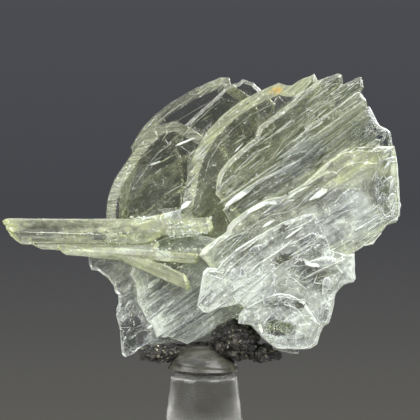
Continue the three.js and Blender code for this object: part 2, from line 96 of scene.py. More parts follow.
# The fan's crystals, from the back to the front. outline is in the front view, depth is the mid-plane's y
# at the fan's centre, and lean and turn are its slopes in degrees. milk is how cloudy the crystal is, from
# clear at 0 to white at 1, edge how white its narrow lip is, and band its wide bevel, where that differs.
# The white of the lip and bevel is partly frosted, broken glass and partly painted light: it stands in for
# the light that the crystal guides out at its edges.
# tone is how yellow-green it is, crazed how full of healed cracks, and grain the angle of its growth lines
# from level, in degrees.
PLATES = [
    dict(  # rearmost, low on the left
        depth=8.4, thickness=1.3, bevel=0.8, lean=-3, turn=-1,
        milk=0.12, edge=0.25, tone=0.3, crazed=0.3, grain=35,
        outline=[
            (-12.6, 30.6), (-13, 34), (-10.8, 37.4), (-6, 41), (0, 44.2), (6, 46.8), (8.6, 47.2),
            (9.2, 45), (12, 42), (10, 34), (4, 29.4), (-4, 27.4), (-9, 28.2)
        ],
    ),
    dict(  # rearmost, low on the right
        depth=7.8, thickness=1.5, bevel=0.9, lean=0, turn=2,
        milk=0.1, edge=0.3, tone=0.15, crazed=0.4, grain=33,
        outline=[
            (3, 33), (2.4, 37), (5.6, 41.4), (12, 45.6), (20, 49.6), (26.6, 52.4), (30.4, 53.6),
            (31.4, 52.2), (31, 50.4), (32.2, 49.4), (29.8, 45.4), (26.4, 40), (22.4, 33.6), (20, 30),
            (14, 28), (8, 28.6)
        ],
    ),
    dict(  # rear left
        depth=6.6, thickness=1.4, bevel=1, lean=5, turn=-4,
        milk=0.04, edge=0.25, tone=0.7, crazed=0.1, band=0.1, grain=40,
        outline=[
            (-15.6, 42), (-15.8, 46.8), (-14, 51.4), (-10.4, 55.4), (-5, 58.6), (0.6, 61), (3.4, 61.6),
            (4.4, 59.8), (6.6, 54), (5, 46), (-4, 38.6), (-11, 38)
        ],
    ),
    dict(  # rear right, in the middle
        depth=6.6, thickness=1.4, bevel=0.9, lean=3, turn=2,
        milk=0.09, edge=0.3, tone=0.4, crazed=0.3, grain=35,
        outline=[
            (6, 46), (5.2, 50), (8, 54), (15, 58.6), (22, 62.4), (27.4, 64.8), (29.6, 65.4),
            (30.4, 64), (30.2, 62.2), (32.6, 61.2), (33, 59), (31, 52), (24, 44), (14, 40)
        ],
    ),
    dict(  # rear, the tall blade behind the tips
        depth=5.5, thickness=1.3, bevel=1, lean=5, turn=1,
        milk=0.06, edge=0.25, tone=0.75, crazed=0.1, grain=38,
        outline=[
            (3, 48), (1.4, 55), (3.4, 60), (8, 64.4), (14, 68.4), (19.6, 71.8), (22.4, 72.8),
            (23.4, 71.8), (23.2, 69.2), (25.8, 67.6), (26.4, 64.6), (24, 54), (16, 44), (8, 42)
        ],
    ),
    dict(  # upper left, with the long curved rim
        depth=5, thickness=1.3, bevel=1.8, lean=5, turn=-3,
        milk=0.02, edge=0.16, tone=0.95, crazed=0.03, band=0.26, grain=42,
        outline=[
            (-13.2, 60.3), *arc((-13.5, 61), (-9.4, 66.6), (-5, 69.8), 5),
            *arc((-3.9, 70.5), (-1, 72.1), (3, 73.8), 3), (4.6, 73.8), (4.9, 72.6), (9, 70), (12, 60),
            (13, 46), (5, 40), (-8, 42), (-15.2, 47), (-15.6, 52), (-14.4, 56.5)
        ],
    ),
    dict(  # thin blade behind the great sheet
        depth=3.7, thickness=0.9, bevel=0.7, lean=5, turn=-2,
        milk=0.03, edge=0.15, tone=0.9, crazed=0.05, band=0.16, grain=42,
        outline=[
            (-5.8, 61.6), (-4.1, 64.5), (-2, 66.7), (1, 69.3), (3.6, 71.8), (5.2, 72.6), (6.3, 72.9),
            (7, 73.5), (7.7, 73.3), (9, 72.8), (10, 71.9), (13, 69), (12, 56), (8, 44), (0, 43),
            (-4.8, 47), (-4.4, 54), (-4.6, 58.6)
        ],
    ),
    dict(  # middle left, down to the laths
        depth=3.1, thickness=1.6, bevel=1.8, lean=4, turn=-3,
        milk=0.03, edge=0.16, tone=0.95, crazed=0.05, band=0.24, grain=6,
        outline=[
            (-17.9, 45), *arc((-17.8, 48.4), (-17.1, 53.4), (-15.9, 56), 4), (-13, 60.2), (-11, 62.8),
            (-8.4, 65.2), (-5, 66), (2, 62), (8, 54), (6, 44), (-2, 38), (-12, 40)
        ],
    ),
    dict(  # lower left, broken along its edge
        depth=2.3, thickness=1.3, bevel=0.6, lean=1, turn=-2,
        milk=0.28, edge=0.65, tone=0.05, crazed=0.5, grain=36,
        outline=[
            (-21, 43.5), (-20.9, 40), (-20.5, 38.9), (-19.3, 38.8), (-17.6, 37.6), (-16.4, 36),
            (-16.2, 35), (-15.6, 34.4), (-15.5, 33), (-15.9, 31.9), (-15.9, 30.3), (-15.3, 28),
            (-15.1, 25.4), (-14.9, 23.4), (-14.3, 23), (-12.8, 23.7), (-10.6, 25.2), (-4, 26), (6, 28),
            (12, 36), (8, 46), (-4, 50), (-16, 47)
        ],
    ),
    dict(  # right shoulder, clear
        depth=1.2, thickness=1.3, bevel=0.8, lean=3, turn=2,
        milk=0.04, edge=0.8, tone=0.05, crazed=0.4, grain=35,
        outline=[
            (28.4, 68.2), (29.9, 68.6), (31.8, 65.1), (33, 64.6), (33.7, 64), (34.1, 61.5), (33, 54),
            (26, 49), (20, 53), (23, 63)
        ],
    ),
    dict(  # lower left, in front of the one before
        depth=0.9, thickness=1.2, bevel=0.6, lean=1, turn=-2,
        milk=0.38, edge=0.75, tone=0.1, crazed=0.4, grain=38,
        outline=[
            (-13.4, 38.2), (-12.4, 36.6), (-12, 33.2), (-10.3, 30), (-9, 28), (-8.6, 26.7), (-7, 26.9),
            (-5, 26.5), (-3.1, 25.7), (0, 27), (3, 29.2), (8, 31), (10, 38), (6, 44), (-4, 46),
            (-12, 43)
        ],
    ),
    dict(  # the great sheet, with the wide pale rim
        depth=1.9, thickness=1.7, bevel=2.0, lean=4, turn=-2,
        milk=0.1, edge=0.25, tone=0.95, crazed=0.08, band=0.26, grain=38,
        outline=[
            (-4.3, 49.3), (-3.2, 54.6), (-2.7, 57.6), (-1.8, 60.2),
            *arc((0, 63.3), (3.9, 67.5), (9.5, 71.1), 6), (11, 71.8), (13.5, 72.9), (15, 72.4),
            (15.9, 72.4), (17, 73.2), (19.9, 74.5), (20.6, 73.3), (24, 66), (22, 55), (14, 46),
            (4, 42), (-2, 44)
        ],
    ),
    dict(  # the pointed sheet in the middle
        depth=0.1, thickness=1.4, bevel=0.9, lean=3, turn=-1,
        milk=0.12, edge=0.3, tone=0.85, crazed=0.12, band=0.16, grain=38,
        outline=[
            (2, 52.8), (2.1, 54.5), (2.4, 56), (3, 57.3), (5, 59.6), (8.2, 62.3), (9.1, 62.9),
            (9.4, 64), (9.9, 65.2), (12, 66.7), (16, 69.7), (20.3, 73.3), (23, 74.2), (24.1, 74.6),
            (24.8, 74.3), (25, 72.5), (27, 66), (25, 56), (16, 48), (7, 48)
        ],
    ),
    dict(  # tip at the upper right
        depth=0.5, thickness=1.2, bevel=0.6, lean=3, turn=-4,
        milk=0.15, edge=0.16, tone=0.85, crazed=0.2, band=0.05, grain=36,
        outline=[
            (17.9, 68.5), (19.6, 68), (21.2, 69.6), (24.9, 72.5), (27.4, 73.8), (28.2, 74),
            (28.7, 72.1), (28.1, 71.1), (27, 63), (22, 54), (14, 50), (9.4, 54), (12.6, 62.4)
        ],
    ),
    dict(  # shoulder below the tips
        depth=0.2, thickness=1.1, bevel=0.5, lean=2, turn=-4,
        milk=0.2, edge=0.2, tone=0.75, crazed=0.3, band=0.05, grain=36,
        outline=[
            (18.4, 65), (25, 69.4), (28.1, 71.1), (29.1, 69.8), (29.3, 68.4), (28.6, 62), (24, 53),
            (15, 49), (11.4, 55)
        ],
    ),
    dict(  # blade whose bright edge shows between the pointed sheet and the milky one
        depth=-1.6, thickness=1, bevel=0.5, lean=2, turn=0.5,
        milk=0.22, edge=0.5, tone=0.5, crazed=0.2, grain=34,
        outline=[
            (3.4, 50.2), (5.6, 52.8), (9.6, 55.4), (15, 58.2), (21.6, 61), (23, 58), (20, 50),
            (12, 46), (6, 46)
        ],
    ),
    dict(  # root behind, where the rear ones join
        depth=3.9, thickness=5.8, bevel=2, lean=2, turn=1,
        milk=0.14, edge=0.2, tone=0.3, crazed=0.2, grain=36,
        outline=[
            (-3.4, 33), (2, 28.6), (9, 28.4), (18, 27.6), (21.6, 33), (25, 40), (28.5, 47), (29.4, 54),
            (25, 57.4), (17, 55), (8, 50), (0, 43.5)
        ],
    ),
    dict(  # root in front, hidden by the sheets of the right side
        depth=-1.4, thickness=4.6, bevel=1, lean=1, turn=1,
        milk=0.14, edge=0.2, tone=0.2, crazed=0.3, grain=36,
        outline=[
            (3, 35), (9, 30.6), (18, 28.6), (20.6, 33), (23.4, 40), (26, 44), (27, 51), (22, 53.6),
            (13, 50.6), (6, 46), (3, 41)
        ],
    ),
    dict(  # the milky sheet that makes the right side
        depth=-3.1, thickness=1.9, bevel=0.9, lean=1, turn=1.5,
        milk=0.38, edge=0.65, tone=0.5, crazed=0.15, grain=30,
        outline=[
            (-0.9, 42.2), (-0.4, 43.2), (1.5, 44.6), (4, 46.4), (4.2, 47.3), (5.1, 48.4), (8, 50.5),
            (11, 52.1), (14, 52.7), (17.5, 54.7), (20, 57), (22, 59.4), (24, 61), (27.5, 61.8),
            (30, 61.5), (34, 61.7), (34.6, 58.5), (35, 53.5), (35.1, 49.3), (34.4, 48), (32.7, 47.4),
            (31, 45.2), (30.3, 44), (28.7, 43.8), (27.1, 42.8), (24, 38), (12, 36), (3, 38)
        ],
    ),
    dict(  # lower right, frosted
        depth=-3.8, thickness=1.7, bevel=0.7, lean=0, turn=3,
        milk=0.42, edge=0.85, tone=0.02, crazed=0.8, grain=34,
        outline=[
            (8, 44), (15, 46), (20, 44.6), (25.4, 42.8), (27, 42.4), (27, 39.5), (27.2, 37.9),
            (26.8, 37.3), (25, 36.8), (23.6, 35.2), (23.1, 32.4), (22.4, 29.9), (21.5, 29.4),
            (20.8, 28), (20.3, 26.1), (19, 25.3), (13, 25.4), (10.2, 27.6), (9, 31), (5, 35)
        ],
    ),
    dict(  # lower middle, with the long straight rim
        depth=-4.6, thickness=1.3, bevel=0.7, lean=2, turn=6,
        milk=0.34, edge=0.85, tone=0.15, crazed=0.4, grain=36,
        outline=[
            (-0.2, 39.4), (0.6, 40.2), (2.4, 40), (3.2, 41.2), (7, 44.2), (9, 45.4), (14, 48.2),
            (20, 50.4), (22, 46), (15, 38), (7, 33.6), (3, 33), (0.8, 32.1), (-0.3, 32.2),
            (-1.2, 33.5), (-0.7, 36.4)
        ],
    ),
    dict(  # next rim to the right
        depth=-5.0, thickness=1.2, bevel=0.6, lean=0, turn=7,
        milk=0.36, edge=0.85, tone=0.08, crazed=0.6, grain=37,
        outline=[
            (4.5, 36.5), (5.3, 37.7), (8.7, 40.3), (12, 43), (15.8, 45.1), (19.4, 46.8), (22, 45.6),
            (24.4, 41), (20, 35), (13, 32), (7.5, 33), (5.6, 34)
        ],
    ),
    dict(  # small sheet high on the lower right
        depth=-4.9, thickness=0.9, bevel=0.4, lean=-2, turn=2,
        milk=0.28, edge=0.2, tone=0.03, crazed=0.5, grain=30,
        outline=[
            (14.2, 39.6), (15.4, 40.7), (17, 41.8), (19, 41.2), (23.2, 41.2), (24.8, 39.2), (23, 36),
            (18.3, 36), (15, 38.2)
        ],
    ),
    dict(  # lowest rounded rim
        depth=-5.1, thickness=1.2, bevel=0.5, lean=-3, turn=1,
        milk=0.4, edge=0.9, tone=0.02, crazed=0.8, grain=28,
        outline=[
            (6.2, 31.7), *arc((7.4, 32.9), (13.6, 35.4), (18, 33.9), 6), (20.5, 30), (19, 27.4),
            (13, 27.2), (10.4, 27.7), (8.4, 29.7), (6.1, 30)
        ],
    ),
    dict(  # strip under the lower right
        depth=-1.4, thickness=0.8, bevel=0.3, lean=0, turn=0,
        milk=0.06, edge=0.4, tone=0, crazed=0.2, grain=28,
        outline=[
            (12.3, 25.6), (12.5, 24.9), (16.3, 24.2), (17, 24.3), (17.2, 25.6), (17, 33), (12.5, 33)
        ],
    ),
]

# Parallel ribs on the sheets: long flat wedges along the growth direction. first and last are the centre
# lines of the end ones, y is the depth of each, and lean is their sheet's.
RIB_GROUPS = [
    dict(count=6, first=((17.5, 61.8), (28.2, 69.6)), last=((22.5, 55.8), (31, 62.6)),
         y=(-2.6, -2.7), lean=2, width=1.5, milk=0.16, tone=0.6),
    dict(count=3, first=((4.6, 52.4), (13, 58.2)), last=((8, 50.8), (17, 56.6)),
         y=(-0.6, -1.6), lean=2, width=1.2, milk=0.16, tone=0.5),
    dict(count=5, first=((-10.2, 34.8), (-4.6, 39.6)), last=((-5, 27.4), (4, 33)),
         y=(0.6, 0.4), lean=1, width=1.3, milk=0.2, tone=0.1),
    dict(count=4, first=((8, 49.6), (23, 58)), last=((12, 42), (27.6, 50.6)),
         y=(8.1, 8.7), lean=1, width=1.7, milk=0.12, tone=0.3),
    dict(count=3, first=((-11, 48), (-1, 56)), last=((-7, 42.8), (3, 50.6)),
         y=(8.4, 7.6), lean=5, width=1.6, milk=0.06, tone=0.6),
    dict(count=3, first=((8, 58.6), (18.6, 66.4)), last=((13, 55.4), (23.4, 63)),
         y=(7.4, 7.8), lean=5, width=1.4, milk=0.1, tone=0.6),
]

# White facets where a broken edge faces the viewer, as outlines in the front view, painted nearly white as
# glints: their colour stands in for the light that they reflect. They and the dashes lean back from their
# sheet, so that they catch the light from above as well.
FACET_LEAN = 26
# Their look: nearly white milk, a painted glint.
PAINTED_GLINT_LOOK = dict(milk=0.85, edge=0.5, tone=0.1, crazed=0)
FACETS = [
    [(-10.2, 36.6), (-10.1, 35.8), (-9.4, 36.0), (-7.4, 37.7), (-8.3, 38.1)],
    [(3.6, 50.8), (4.4, 51.0), (6.5, 52.2), (8.8, 53.9), (9.3, 54.6), (7.5, 54.0), (5.4, 52.6),
     (4.0, 51.4)],
    [(18.6, 52.0), (20.5, 52.5), (21.8, 53.4), (22.5, 54.6), (21.4, 54.7), (20.3, 53.7), (18.9, 52.4)],
    [(7.6, 49.6), (9.5, 50.4), (11, 51.2), (12.6, 51.4), (12.4, 51.8), (10.5, 51.8), (9, 51.0),
     (7.9, 50.3)],
    [(10.3, 47.2), (11.5, 47.6), (12.9, 48.6), (12.2, 48.7), (10.9, 47.9)],
    [(-4.3, 49.9), (-3.0, 50.5), (-2.1, 51.6), (-3.2, 51.5), (-4.0, 50.9)],
    [(0.9, 47.9), (1.3, 47.9), (1.5, 48.7), (1.2, 48.9), (0.9, 48.6)],
    [(17.6, 41.8), (18.1, 40.6), (19.4, 40.2), (20.7, 40.3), (20.2, 40.9), (18.8, 41.1)],
]
# Short white dashes, painted glints: start, end and width.
DASHES = [
    ((-6.9, 32.4), (-4.6, 34.4), 0.4), ((-8.3, 31.7), (-6.6, 33.2), 0.4),
    ((-5.2, 30.9), (-4.3, 31.8), 0.4), ((-10.4, 28.4), (-9.5, 29.0), 0.5),
    ((-5.3, 61.4), (-1.7, 62.9), 0.4), ((-9.9, 57.9), (-8.0, 58.6), 0.35),
    ((-11.8, 40.4), (-8.8, 38.4), 0.4), ((14.3, 45.2), (17.6, 47.4), 0.35),
    ((-10, 34.2), (-7.6, 36.0), 0.3), ((-14.2, 32.4), (-13.4, 33.4), 0.5),
    ((-14.6, 26.2), (-14.2, 26.8), 0.4), ((25.6, 66.2), (27.0, 65.4), 0.3),
    ((-3.6, 31.4), (-2.8, 32.0), 0.3), ((-12.8, 24.0), (-11.6, 24.9), 0.4),
    ((5.4, 60.3), (7.0, 61.9), 0.3),
]

# White edges and healed cracks that stand out on the sheets, and two short painted glints: half width,
# milk, tone and the path in the front view.
EDGES = [
    (0.20, 0.6, 0.3, [(2.2, 39.5), (3.3, 41), (5, 42.7), (7.5, 44.3), (9.5, 45.6), (10.5, 46.2)]),
    (0.26, 0.9, 0.1, [(8.5, 38.8), (9, 39.8), (10.2, 40.8), (11.2, 41.8), (12.4, 42.4), (14, 43.5),
                      (16, 45.2)]),
    (0.11, 0.9, 0.1, [(10.9, 41.6), (12, 41.2), (13, 40.8), (13.6, 40.4), (14.6, 39.9)]),
    (0.07, 0.7, 0.1, [(11.1, 42.3), (11.2, 43.3), (11.4, 45)]),
    (0.17, 0.9, 0.05, [(4.6, 36.4), (5.2, 37.6), (6.4, 38.5), (7.6, 39.3), (8.5, 39.7)]),
    (0.18, 0.95, 0.0, [(4.6, 36.4), (5.1, 35.6), (5.3, 34.9), (5.7, 34.3), (6.4, 33.9)]),
    (0.09, 0.9, 0.0, [(4.4, 33.3), (4.9, 32.4), (5.6, 31.9), (6.1, 31.7)]),
    (0.08, 0.8, 0.0, [(5.0, 33.5), (5.8, 33.8), (6.8, 33.6), (7.3, 33.1)]),
    (0.10, 0.9, 0.0, [(3.4, 34.3), (4.1, 34.6), (4.9, 35.1)]),
    (0.08, 0.8, 0.0, [(3.4, 32.5), (4.4, 33.2), (5.2, 33.8)]),
    (0.25, 0.95, 0.0, [(6.4, 31.7), (7.2, 32.6), (8.3, 33.3), (9.7, 34), (11, 34.7), (12.4, 35.1),
                       (14, 35.35), (15.4, 35.2), (16.3, 34.7), (16.9, 34.3), (18, 34.3)]),
    (0.13, 0.9, 0.0, [(14.3, 39.8), (14.7, 39.2), (15.3, 38.4), (16.4, 37.6), (17.6, 36.8),
                      (18.4, 36)]),
    (0.10, 0.85, 0.0, [(14.3, 39.7), (15.2, 40.2), (16.5, 40.5), (18, 40.5)]),
    (0.10, 0.85, 0.0, [(15.2, 40.7), (16, 41.3), (17, 41.6), (17.8, 41.9)]),
    (0.13, 0.9, 0.05, [(17.8, 41.9), (18.6, 41.3), (20, 41), (21.3, 41.2), (22.4, 41.5), (23.4, 41.2),
                       (23.8, 40.4), (24.3, 39.3), (24.8, 38.4)]),
    (0.08, 0.85, 0.0, [(21, 40), (22, 39.8), (23, 39.9)]),
    (0.07, 0.8, 0.0, [(21, 38.5), (22, 38.4), (22.6, 38.4)]),
    (0.09, 0.9, 0.0, [(10, 32.6), (11.2, 32.8), (12.3, 32.7), (13.4, 32.7), (14.2, 33.4),
                      (14.8, 34.2), (15.2, 34.9)]),
    (0.08, 0.9, 0.0, [(14.7, 32.2), (15.1, 33), (15.6, 33.9), (16.3, 34.6)]),
    (0.07, 0.8, 0.0, [(15.2, 31.7), (16, 32.2), (17, 32.5), (18, 33)]),
    (0.08, 0.9, 0.0, [(15, 34.8), (14.6, 33.9), (14.3, 33.1), (13.9, 32.5)]),
    (0.07, 0.8, 0.0, [(11.8, 35), (11, 34.2), (10.8, 33.4), (11.4, 32.7), (11.8, 31.8), (11.5, 30.8)]),
    (0.07, 0.8, 0.0, [(6.5, 31.7), (7.8, 31.2), (9, 31.3), (10.6, 31.4), (12, 31.3), (13.4, 31.5),
                      (14.8, 31.6)]),
    (0.09, 0.9, 0.0, [(6.2, 31.6), (6.5, 30.9), (6.3, 30.2), (6.6, 29.9)]),
    (0.08, 0.85, 0.0, [(12.9, 30.4), (13.8, 30.7), (14.9, 30.6), (15.8, 30.2), (16.1, 29.4),
                       (15.9, 28.6), (15.2, 27.9)]),
    (0.14, 0.95, 0.0, [(11.3, 29.8), (11.1, 29.1), (11.4, 28.6), (10.5, 28), (10.9, 27.4)]),
    (0.13, 0.9, 0.1, [(8.2, 29.7), (8.6, 28.9), (9.3, 28.3), (10, 27.9)]),
    (0.09, 0.9, 0.1, [(8.2, 29.8), (9.2, 30.3), (10, 30.6)]),
    (0.08, 0.8, 0.0, [(10, 27), (11.5, 27.2), (13.5, 27.1), (15.4, 27), (16.6, 26.7)]),
    (0.11, 0.9, 0.0, [(12.5, 25.7), (14, 25.6), (16, 25.5), (17.9, 25.5), (18.9, 25.8), (19.8, 26.5),
                      (20.3, 27.3)]),
    (0.07, 0.8, 0.0, [(16.5, 26.6), (17.3, 26.8), (18.3, 27.2), (19, 27.5), (20, 27.6)]),
    (0.16, 0.95, 0.0, [(20.9, 34.4), (21, 33), (20.8, 31.8), (20.7, 31.4)]),
    (0.09, 0.85, 0.1, [(23.2, 36.1), (22.3, 35.7), (21.9, 34.9), (21.8, 33.6), (21.4, 32.2),
                       (21.2, 31), (21.1, 30)]),
    (0.11, 0.9, 0.0, [(25.3, 42.4), (25.9, 42.2), (26.5, 42), (26.7, 41), (26.8, 39.5), (26.8, 38)]),
    (0.15, 0.9, 0.1, [(26.4, 62), (27, 61.4), (28.2, 61.4), (29.5, 61.4), (30.4, 61.2), (31.2, 61.4),
                      (32.4, 61.4), (33.3, 60.9), (33.8, 60.3)]),
    (0.22, 0.95, 0.05, [(31.5, 59.7), (32.2, 59.2), (33.2, 58.7), (32.6, 58.2), (31.8, 57.6),
                        (31.8, 57), (32.4, 56.2), (33, 55.4), (33.6, 54.2), (34.3, 53.4)]),
    (0.14, 0.9, 0.0, [(34.2, 60), (34.5, 58), (34.6, 56), (34.7, 54), (34.8, 52), (34.8, 50),
                      (34.6, 49), (34, 48.6), (33, 48), (32.3, 47.4), (32, 46.5), (31, 45.4),
                      (30.2, 44.4), (28.6, 44), (27.3, 43.1)]),
    (0.11, 0.9, 0.0, [(34.2, 52.6), (34.2, 51), (34, 50), (33.7, 49.3), (33.2, 48.9)]),
    (0.09, 0.8, 0.1, [(30.3, 54.4), (30.9, 54.7), (31.6, 54.2)]),
    (0.09, 0.8, 0.1, [(30.6, 52.8), (31.4, 52.9), (32.3, 52.4)]),
    (0.09, 0.8, 0.1, [(30.4, 51.2), (31.2, 51.5), (32, 51.4)]),
    (0.14, 0.95, 0.1, [(32.8, 50.4), (33.3, 51.2), (33.5, 51.9)]),
    (0.14, 0.9, 0.0, [(26.2, 50.9), (27.4, 50.5), (28.5, 49.1), (29, 48.9)]),
    (0.09, 0.85, 0.3, [(18.7, 57.4), (18.9, 56.7), (19.6, 56.3), (20.7, 56.7), (22.5, 57.5)]),
    (0.07, 0.6, 0.3, [(15, 56.1), (16.5, 56.2), (18, 57.2), (19.6, 58.3), (20.6, 59.6), (22, 61)]),
    (0.07, 0.8, 0.3, [(23.2, 58.6), (23.2, 57.4), (23.6, 56.5)]),
    (0.30, 0.6, 0.45, [(8, 50.2), (10, 51.2), (12, 51.4), (13.3, 51.2), (15, 52.3), (16.6, 53.5),
                       (18.5, 54.4), (20, 55)]),
    (0.14, 0.5, 0.5, [(12, 49.9), (14, 51), (16, 52), (18, 53.4), (20, 54.5)]),
    (0.09, 0.8, 0.2, [(28.7, 60.8), (28.9, 60), (29.4, 59.3)]),
    (0.09, 0.7, 0.3, [(28, 46.4), (29.5, 47.2), (31.2, 48.3)]),
    (0.09, 0.6, 0.2, [(20.4, 44.9), (22, 45.7), (24, 46.6)]),
    (0.08, 0.6, 0.2, [(20, 47.4), (22, 48), (24, 48.9)]),
    (0.10, 0.7, 0.2, [(16, 43.3), (17.4, 44.1), (19, 45.2)]),
    (0.08, 0.85, 0.1, [(13.7, 45), (15, 46.2), (16.4, 47.2)]),
    (0.08, 0.7, 0.5, [(21.6, 61), (23, 62.4), (25, 63.8), (27, 65.2), (28.6, 66.2)]),
    (0.07, 0.7, 0.5, [(24.2, 62.6), (25.8, 63.7), (27.2, 65), (27.8, 65.8)]),
    (0.14, 0.9, 0.0, [(29.6, 67.3), (30.6, 66.4), (31.2, 65.2), (32.6, 64.5), (33.3, 63.9),
                      (33.5, 63), (33.6, 61.9)]),
    (0.11, 0.8, 0.1, [(-18.8, 39), (-17.6, 38), (-16.8, 36.8), (-16.4, 35.4), (-15.8, 34.6),
                      (-15.7, 33.4), (-16.0, 32), (-15.9, 30.4)]),
    (0.11, 0.85, 0.05, [(-12, 33.3), (-11.4, 31.8), (-10.6, 30.4), (-9.8, 29.8), (-9.9, 28.9),
                        (-9.2, 28.1), (-8.8, 27), (-8.4, 26.7), (-7.6, 26.9), (-6.6, 27.1),
                        (-5.4, 26.7), (-4.4, 26.3), (-3, 25.8), (-2.2, 26.2), (-1.4, 26.6)]),
    (0.07, 0.7, 0.0, [(-13.9, 29.2), (-13, 30.3), (-11.7, 31.6)]),
    (0.09, 0.8, 0.0, [(-15, 28.6), (-13.6, 28.5), (-12.4, 28.5), (-11, 29.2), (-10.4, 29.6)]),
    (0.13, 0.85, 0.1, [(-11.6, 33), (-10, 33), (-9.2, 33.6)]),
    (0.10, 0.9, 0.1, [(-10, 34.6), (-8.6, 35.2), (-7.6, 36.2), (-6.9, 37.1)]),
    (0.09, 0.75, 0.1, [(-9.7, 30.4), (-8.4, 31.6), (-7.2, 32.9), (-6.8, 34), (-6.4, 35.2),
                       (-6.5, 36.4)]),
    (0.08, 0.7, 0.1, [(-6.9, 27), (-5.9, 28.3), (-4.8, 29.4), (-3.9, 30.6)]),
    (0.09, 0.7, 0.1, [(-5.6, 27.2), (-4.4, 28.4), (-2.6, 29.6), (-0.6, 30.4), (0.4, 30.9)]),
    (0.08, 0.7, 0.1, [(-0.6, 28), (0.6, 29), (1.6, 30)]),
    (0.20, 0.85, 0.1, [(-1, 33.4), (-0.6, 35.2), (-0.4, 37), (0, 39), (0.8, 39.8), (2.2, 40.2),
                       (3.2, 41.2), (4.6, 42.6)]),
    (0.09, 0.7, 0.1, [(0.4, 34.8), (1.4, 36.4), (1.8, 37.6), (2.2, 39), (2.8, 40)]),
    (0.20, 0.95, 0.0, [(-1.1, 33.6), (-0.6, 33), (-0.2, 32.5), (0.4, 32.2)]),
    (0.14, 0.9, 0.0, [(0.8, 32.3), (2, 32.9), (3, 33.6), (4.4, 34.4)]),
    (0.06, 0.8, 0.1, [(2.4, 38.8), (2.8, 39.6), (3.8, 40.4), (5, 40.8), (5.8, 40.5), (5.5, 40)]),
    (0.06, 0.3, 0.9, [(-15.4, 47.6), (-15.3, 51), (-15.1, 54.4), (-14.4, 56.4), (-13, 58),
                      (-11, 59.6), (-9.4, 60.8)]),
    (0.06, 0.3, 0.9, [(-12.6, 61), (-11, 63.2), (-9.2, 65), (-7, 66.9), (-4.6, 68.6), (-1.6, 70.6),
                      (0.8, 72), (3, 72.6)]),
    (0.08, 0.7, 0.6, [(-9.9, 57.9), (-8.6, 59), (-7.6, 59.4)]),
    (0.12, 0.5, 0.8, [(-8, 58.4), (-6.6, 59.2), (-5.4, 59.8)]),
    # A painted glint.
    (0.16, 0.7, 0.4, [(-9.1, 64), (-8.4, 63.2)]),
    (0.09, 0.3, 0.9, [(-7.4, 66.4), (-6.8, 65), (-6.8, 63.6), (-7.6, 62.4)]),
    (0.06, 0.35, 0.9, [(-0.2, 62.4), (1.4, 64), (3.4, 65.4), (5.6, 66.6), (7.6, 68.3), (9.8, 69.8),
                       (11.6, 70.6)]),
    (0.08, 0.4, 0.8, [(2.2, 52.6), (2.3, 54), (2.6, 55.8), (3.4, 57.2), (4.8, 59.1), (6.6, 60.8),
                      (8.2, 62.0), (9.2, 62.7)]),
    (0.07, 0.35, 0.8, [(9.4, 61.6), (9.7, 63.6), (10.1, 65), (11.4, 66.1)]),
    (0.12, 0.6, 0.7, [(2.4, 52.6), (4, 53.4), (5.6, 54.2), (7, 54.6)]),
    # A painted glint.
    (0.12, 0.85, 0.4, [(18.3, 68.3), (19.5, 67.9), (20.3, 68.8), (21.2, 69.4)]),
    (0.06, 0.35, 0.8, [(-5.2, 61.2), (-3.6, 63.6), (-1.4, 65.8), (0.8, 67.8), (3, 69.6)]),
]

# White lines on the laths: half width, milk, tone, depth and the path in the front view. Those along the
# laths' top edges are painted highlights of the light from above.
LATH_EDGES = [
    (0.08, 0.95, 0.3, -2.75, [(-4.8, 46.9), (-4, 47.2), (-3.2, 46.9), (-2.4, 47.3), (-1.6, 47.1),
                              (-0.8, 47.3), (0, 47.2)]),
    (0.08, 0.9, 0.4, -2.75, [(-6, 45.9), (-4.8, 45.7), (-3.6, 46.1), (-2.4, 46), (-1, 46.1),
                             (0.4, 46.4)]),
    # A painted highlight along a top edge.
    (0.12, 0.95, 0.3, -1.3, [(-13, 47.8), (-11.6, 48.1), (-10.4, 48.6), (-8.7, 49.2)]),
    (0.11, 0.95, 0.2, -2.75, [(-6.5, 48), (-6.3, 47.2), (-6.5, 46.4), (-6.3, 45.8)]),
    (0.11, 0.95, 0.3, -2.5, [(0.2, 48.2), (0.6, 47.6), (0.9, 46.9), (0.3, 46.6)]),
    # A painted highlight along the top edge of the longest lath.
    (0.09, 0.7, 0.5, -1.1, [(-34.6, 48.4), (-30, 48.35), (-25, 48.2), (-20, 48.15), (-14, 48)]),
    (0.08, 0.8, 0.4, -2.85, [(-33, 46.3), (-29, 46.2), (-26, 46.1), (-22, 46), (-18, 45.9)]),
    (0.09, 0.85, 0.3, -2.3, [(-8.9, 43.3), (-8, 42.8), (-7.2, 42.2), (-6.4, 41.6)]),
    (0.08, 0.8, 0.4, -1.6, [(-11.9, 40.4), (-10, 39.3), (-7, 37.9), (-4.6, 36.7)]),
    (0.08, 0.7, 0.5, -2.6, [(-8, 40.7), (-6, 39.7), (-4.4, 38.8), (-3.3, 38)]),
    (0.07, 0.8, 0.3, -2.5, [(-6, 45), (-4.6, 45.3), (-3, 45.5)]),
    (0.08, 0.7, 0.5, -1.7, [(-22, 42.9), (-19.5, 42.6), (-16, 42.2), (-13, 41.8)]),
    (0.07, 0.6, 0.7, -2.2, [(-33.2, 48.1), (-33.4, 47), (-33.1, 46.2), (-32.6, 45.2)]),
]

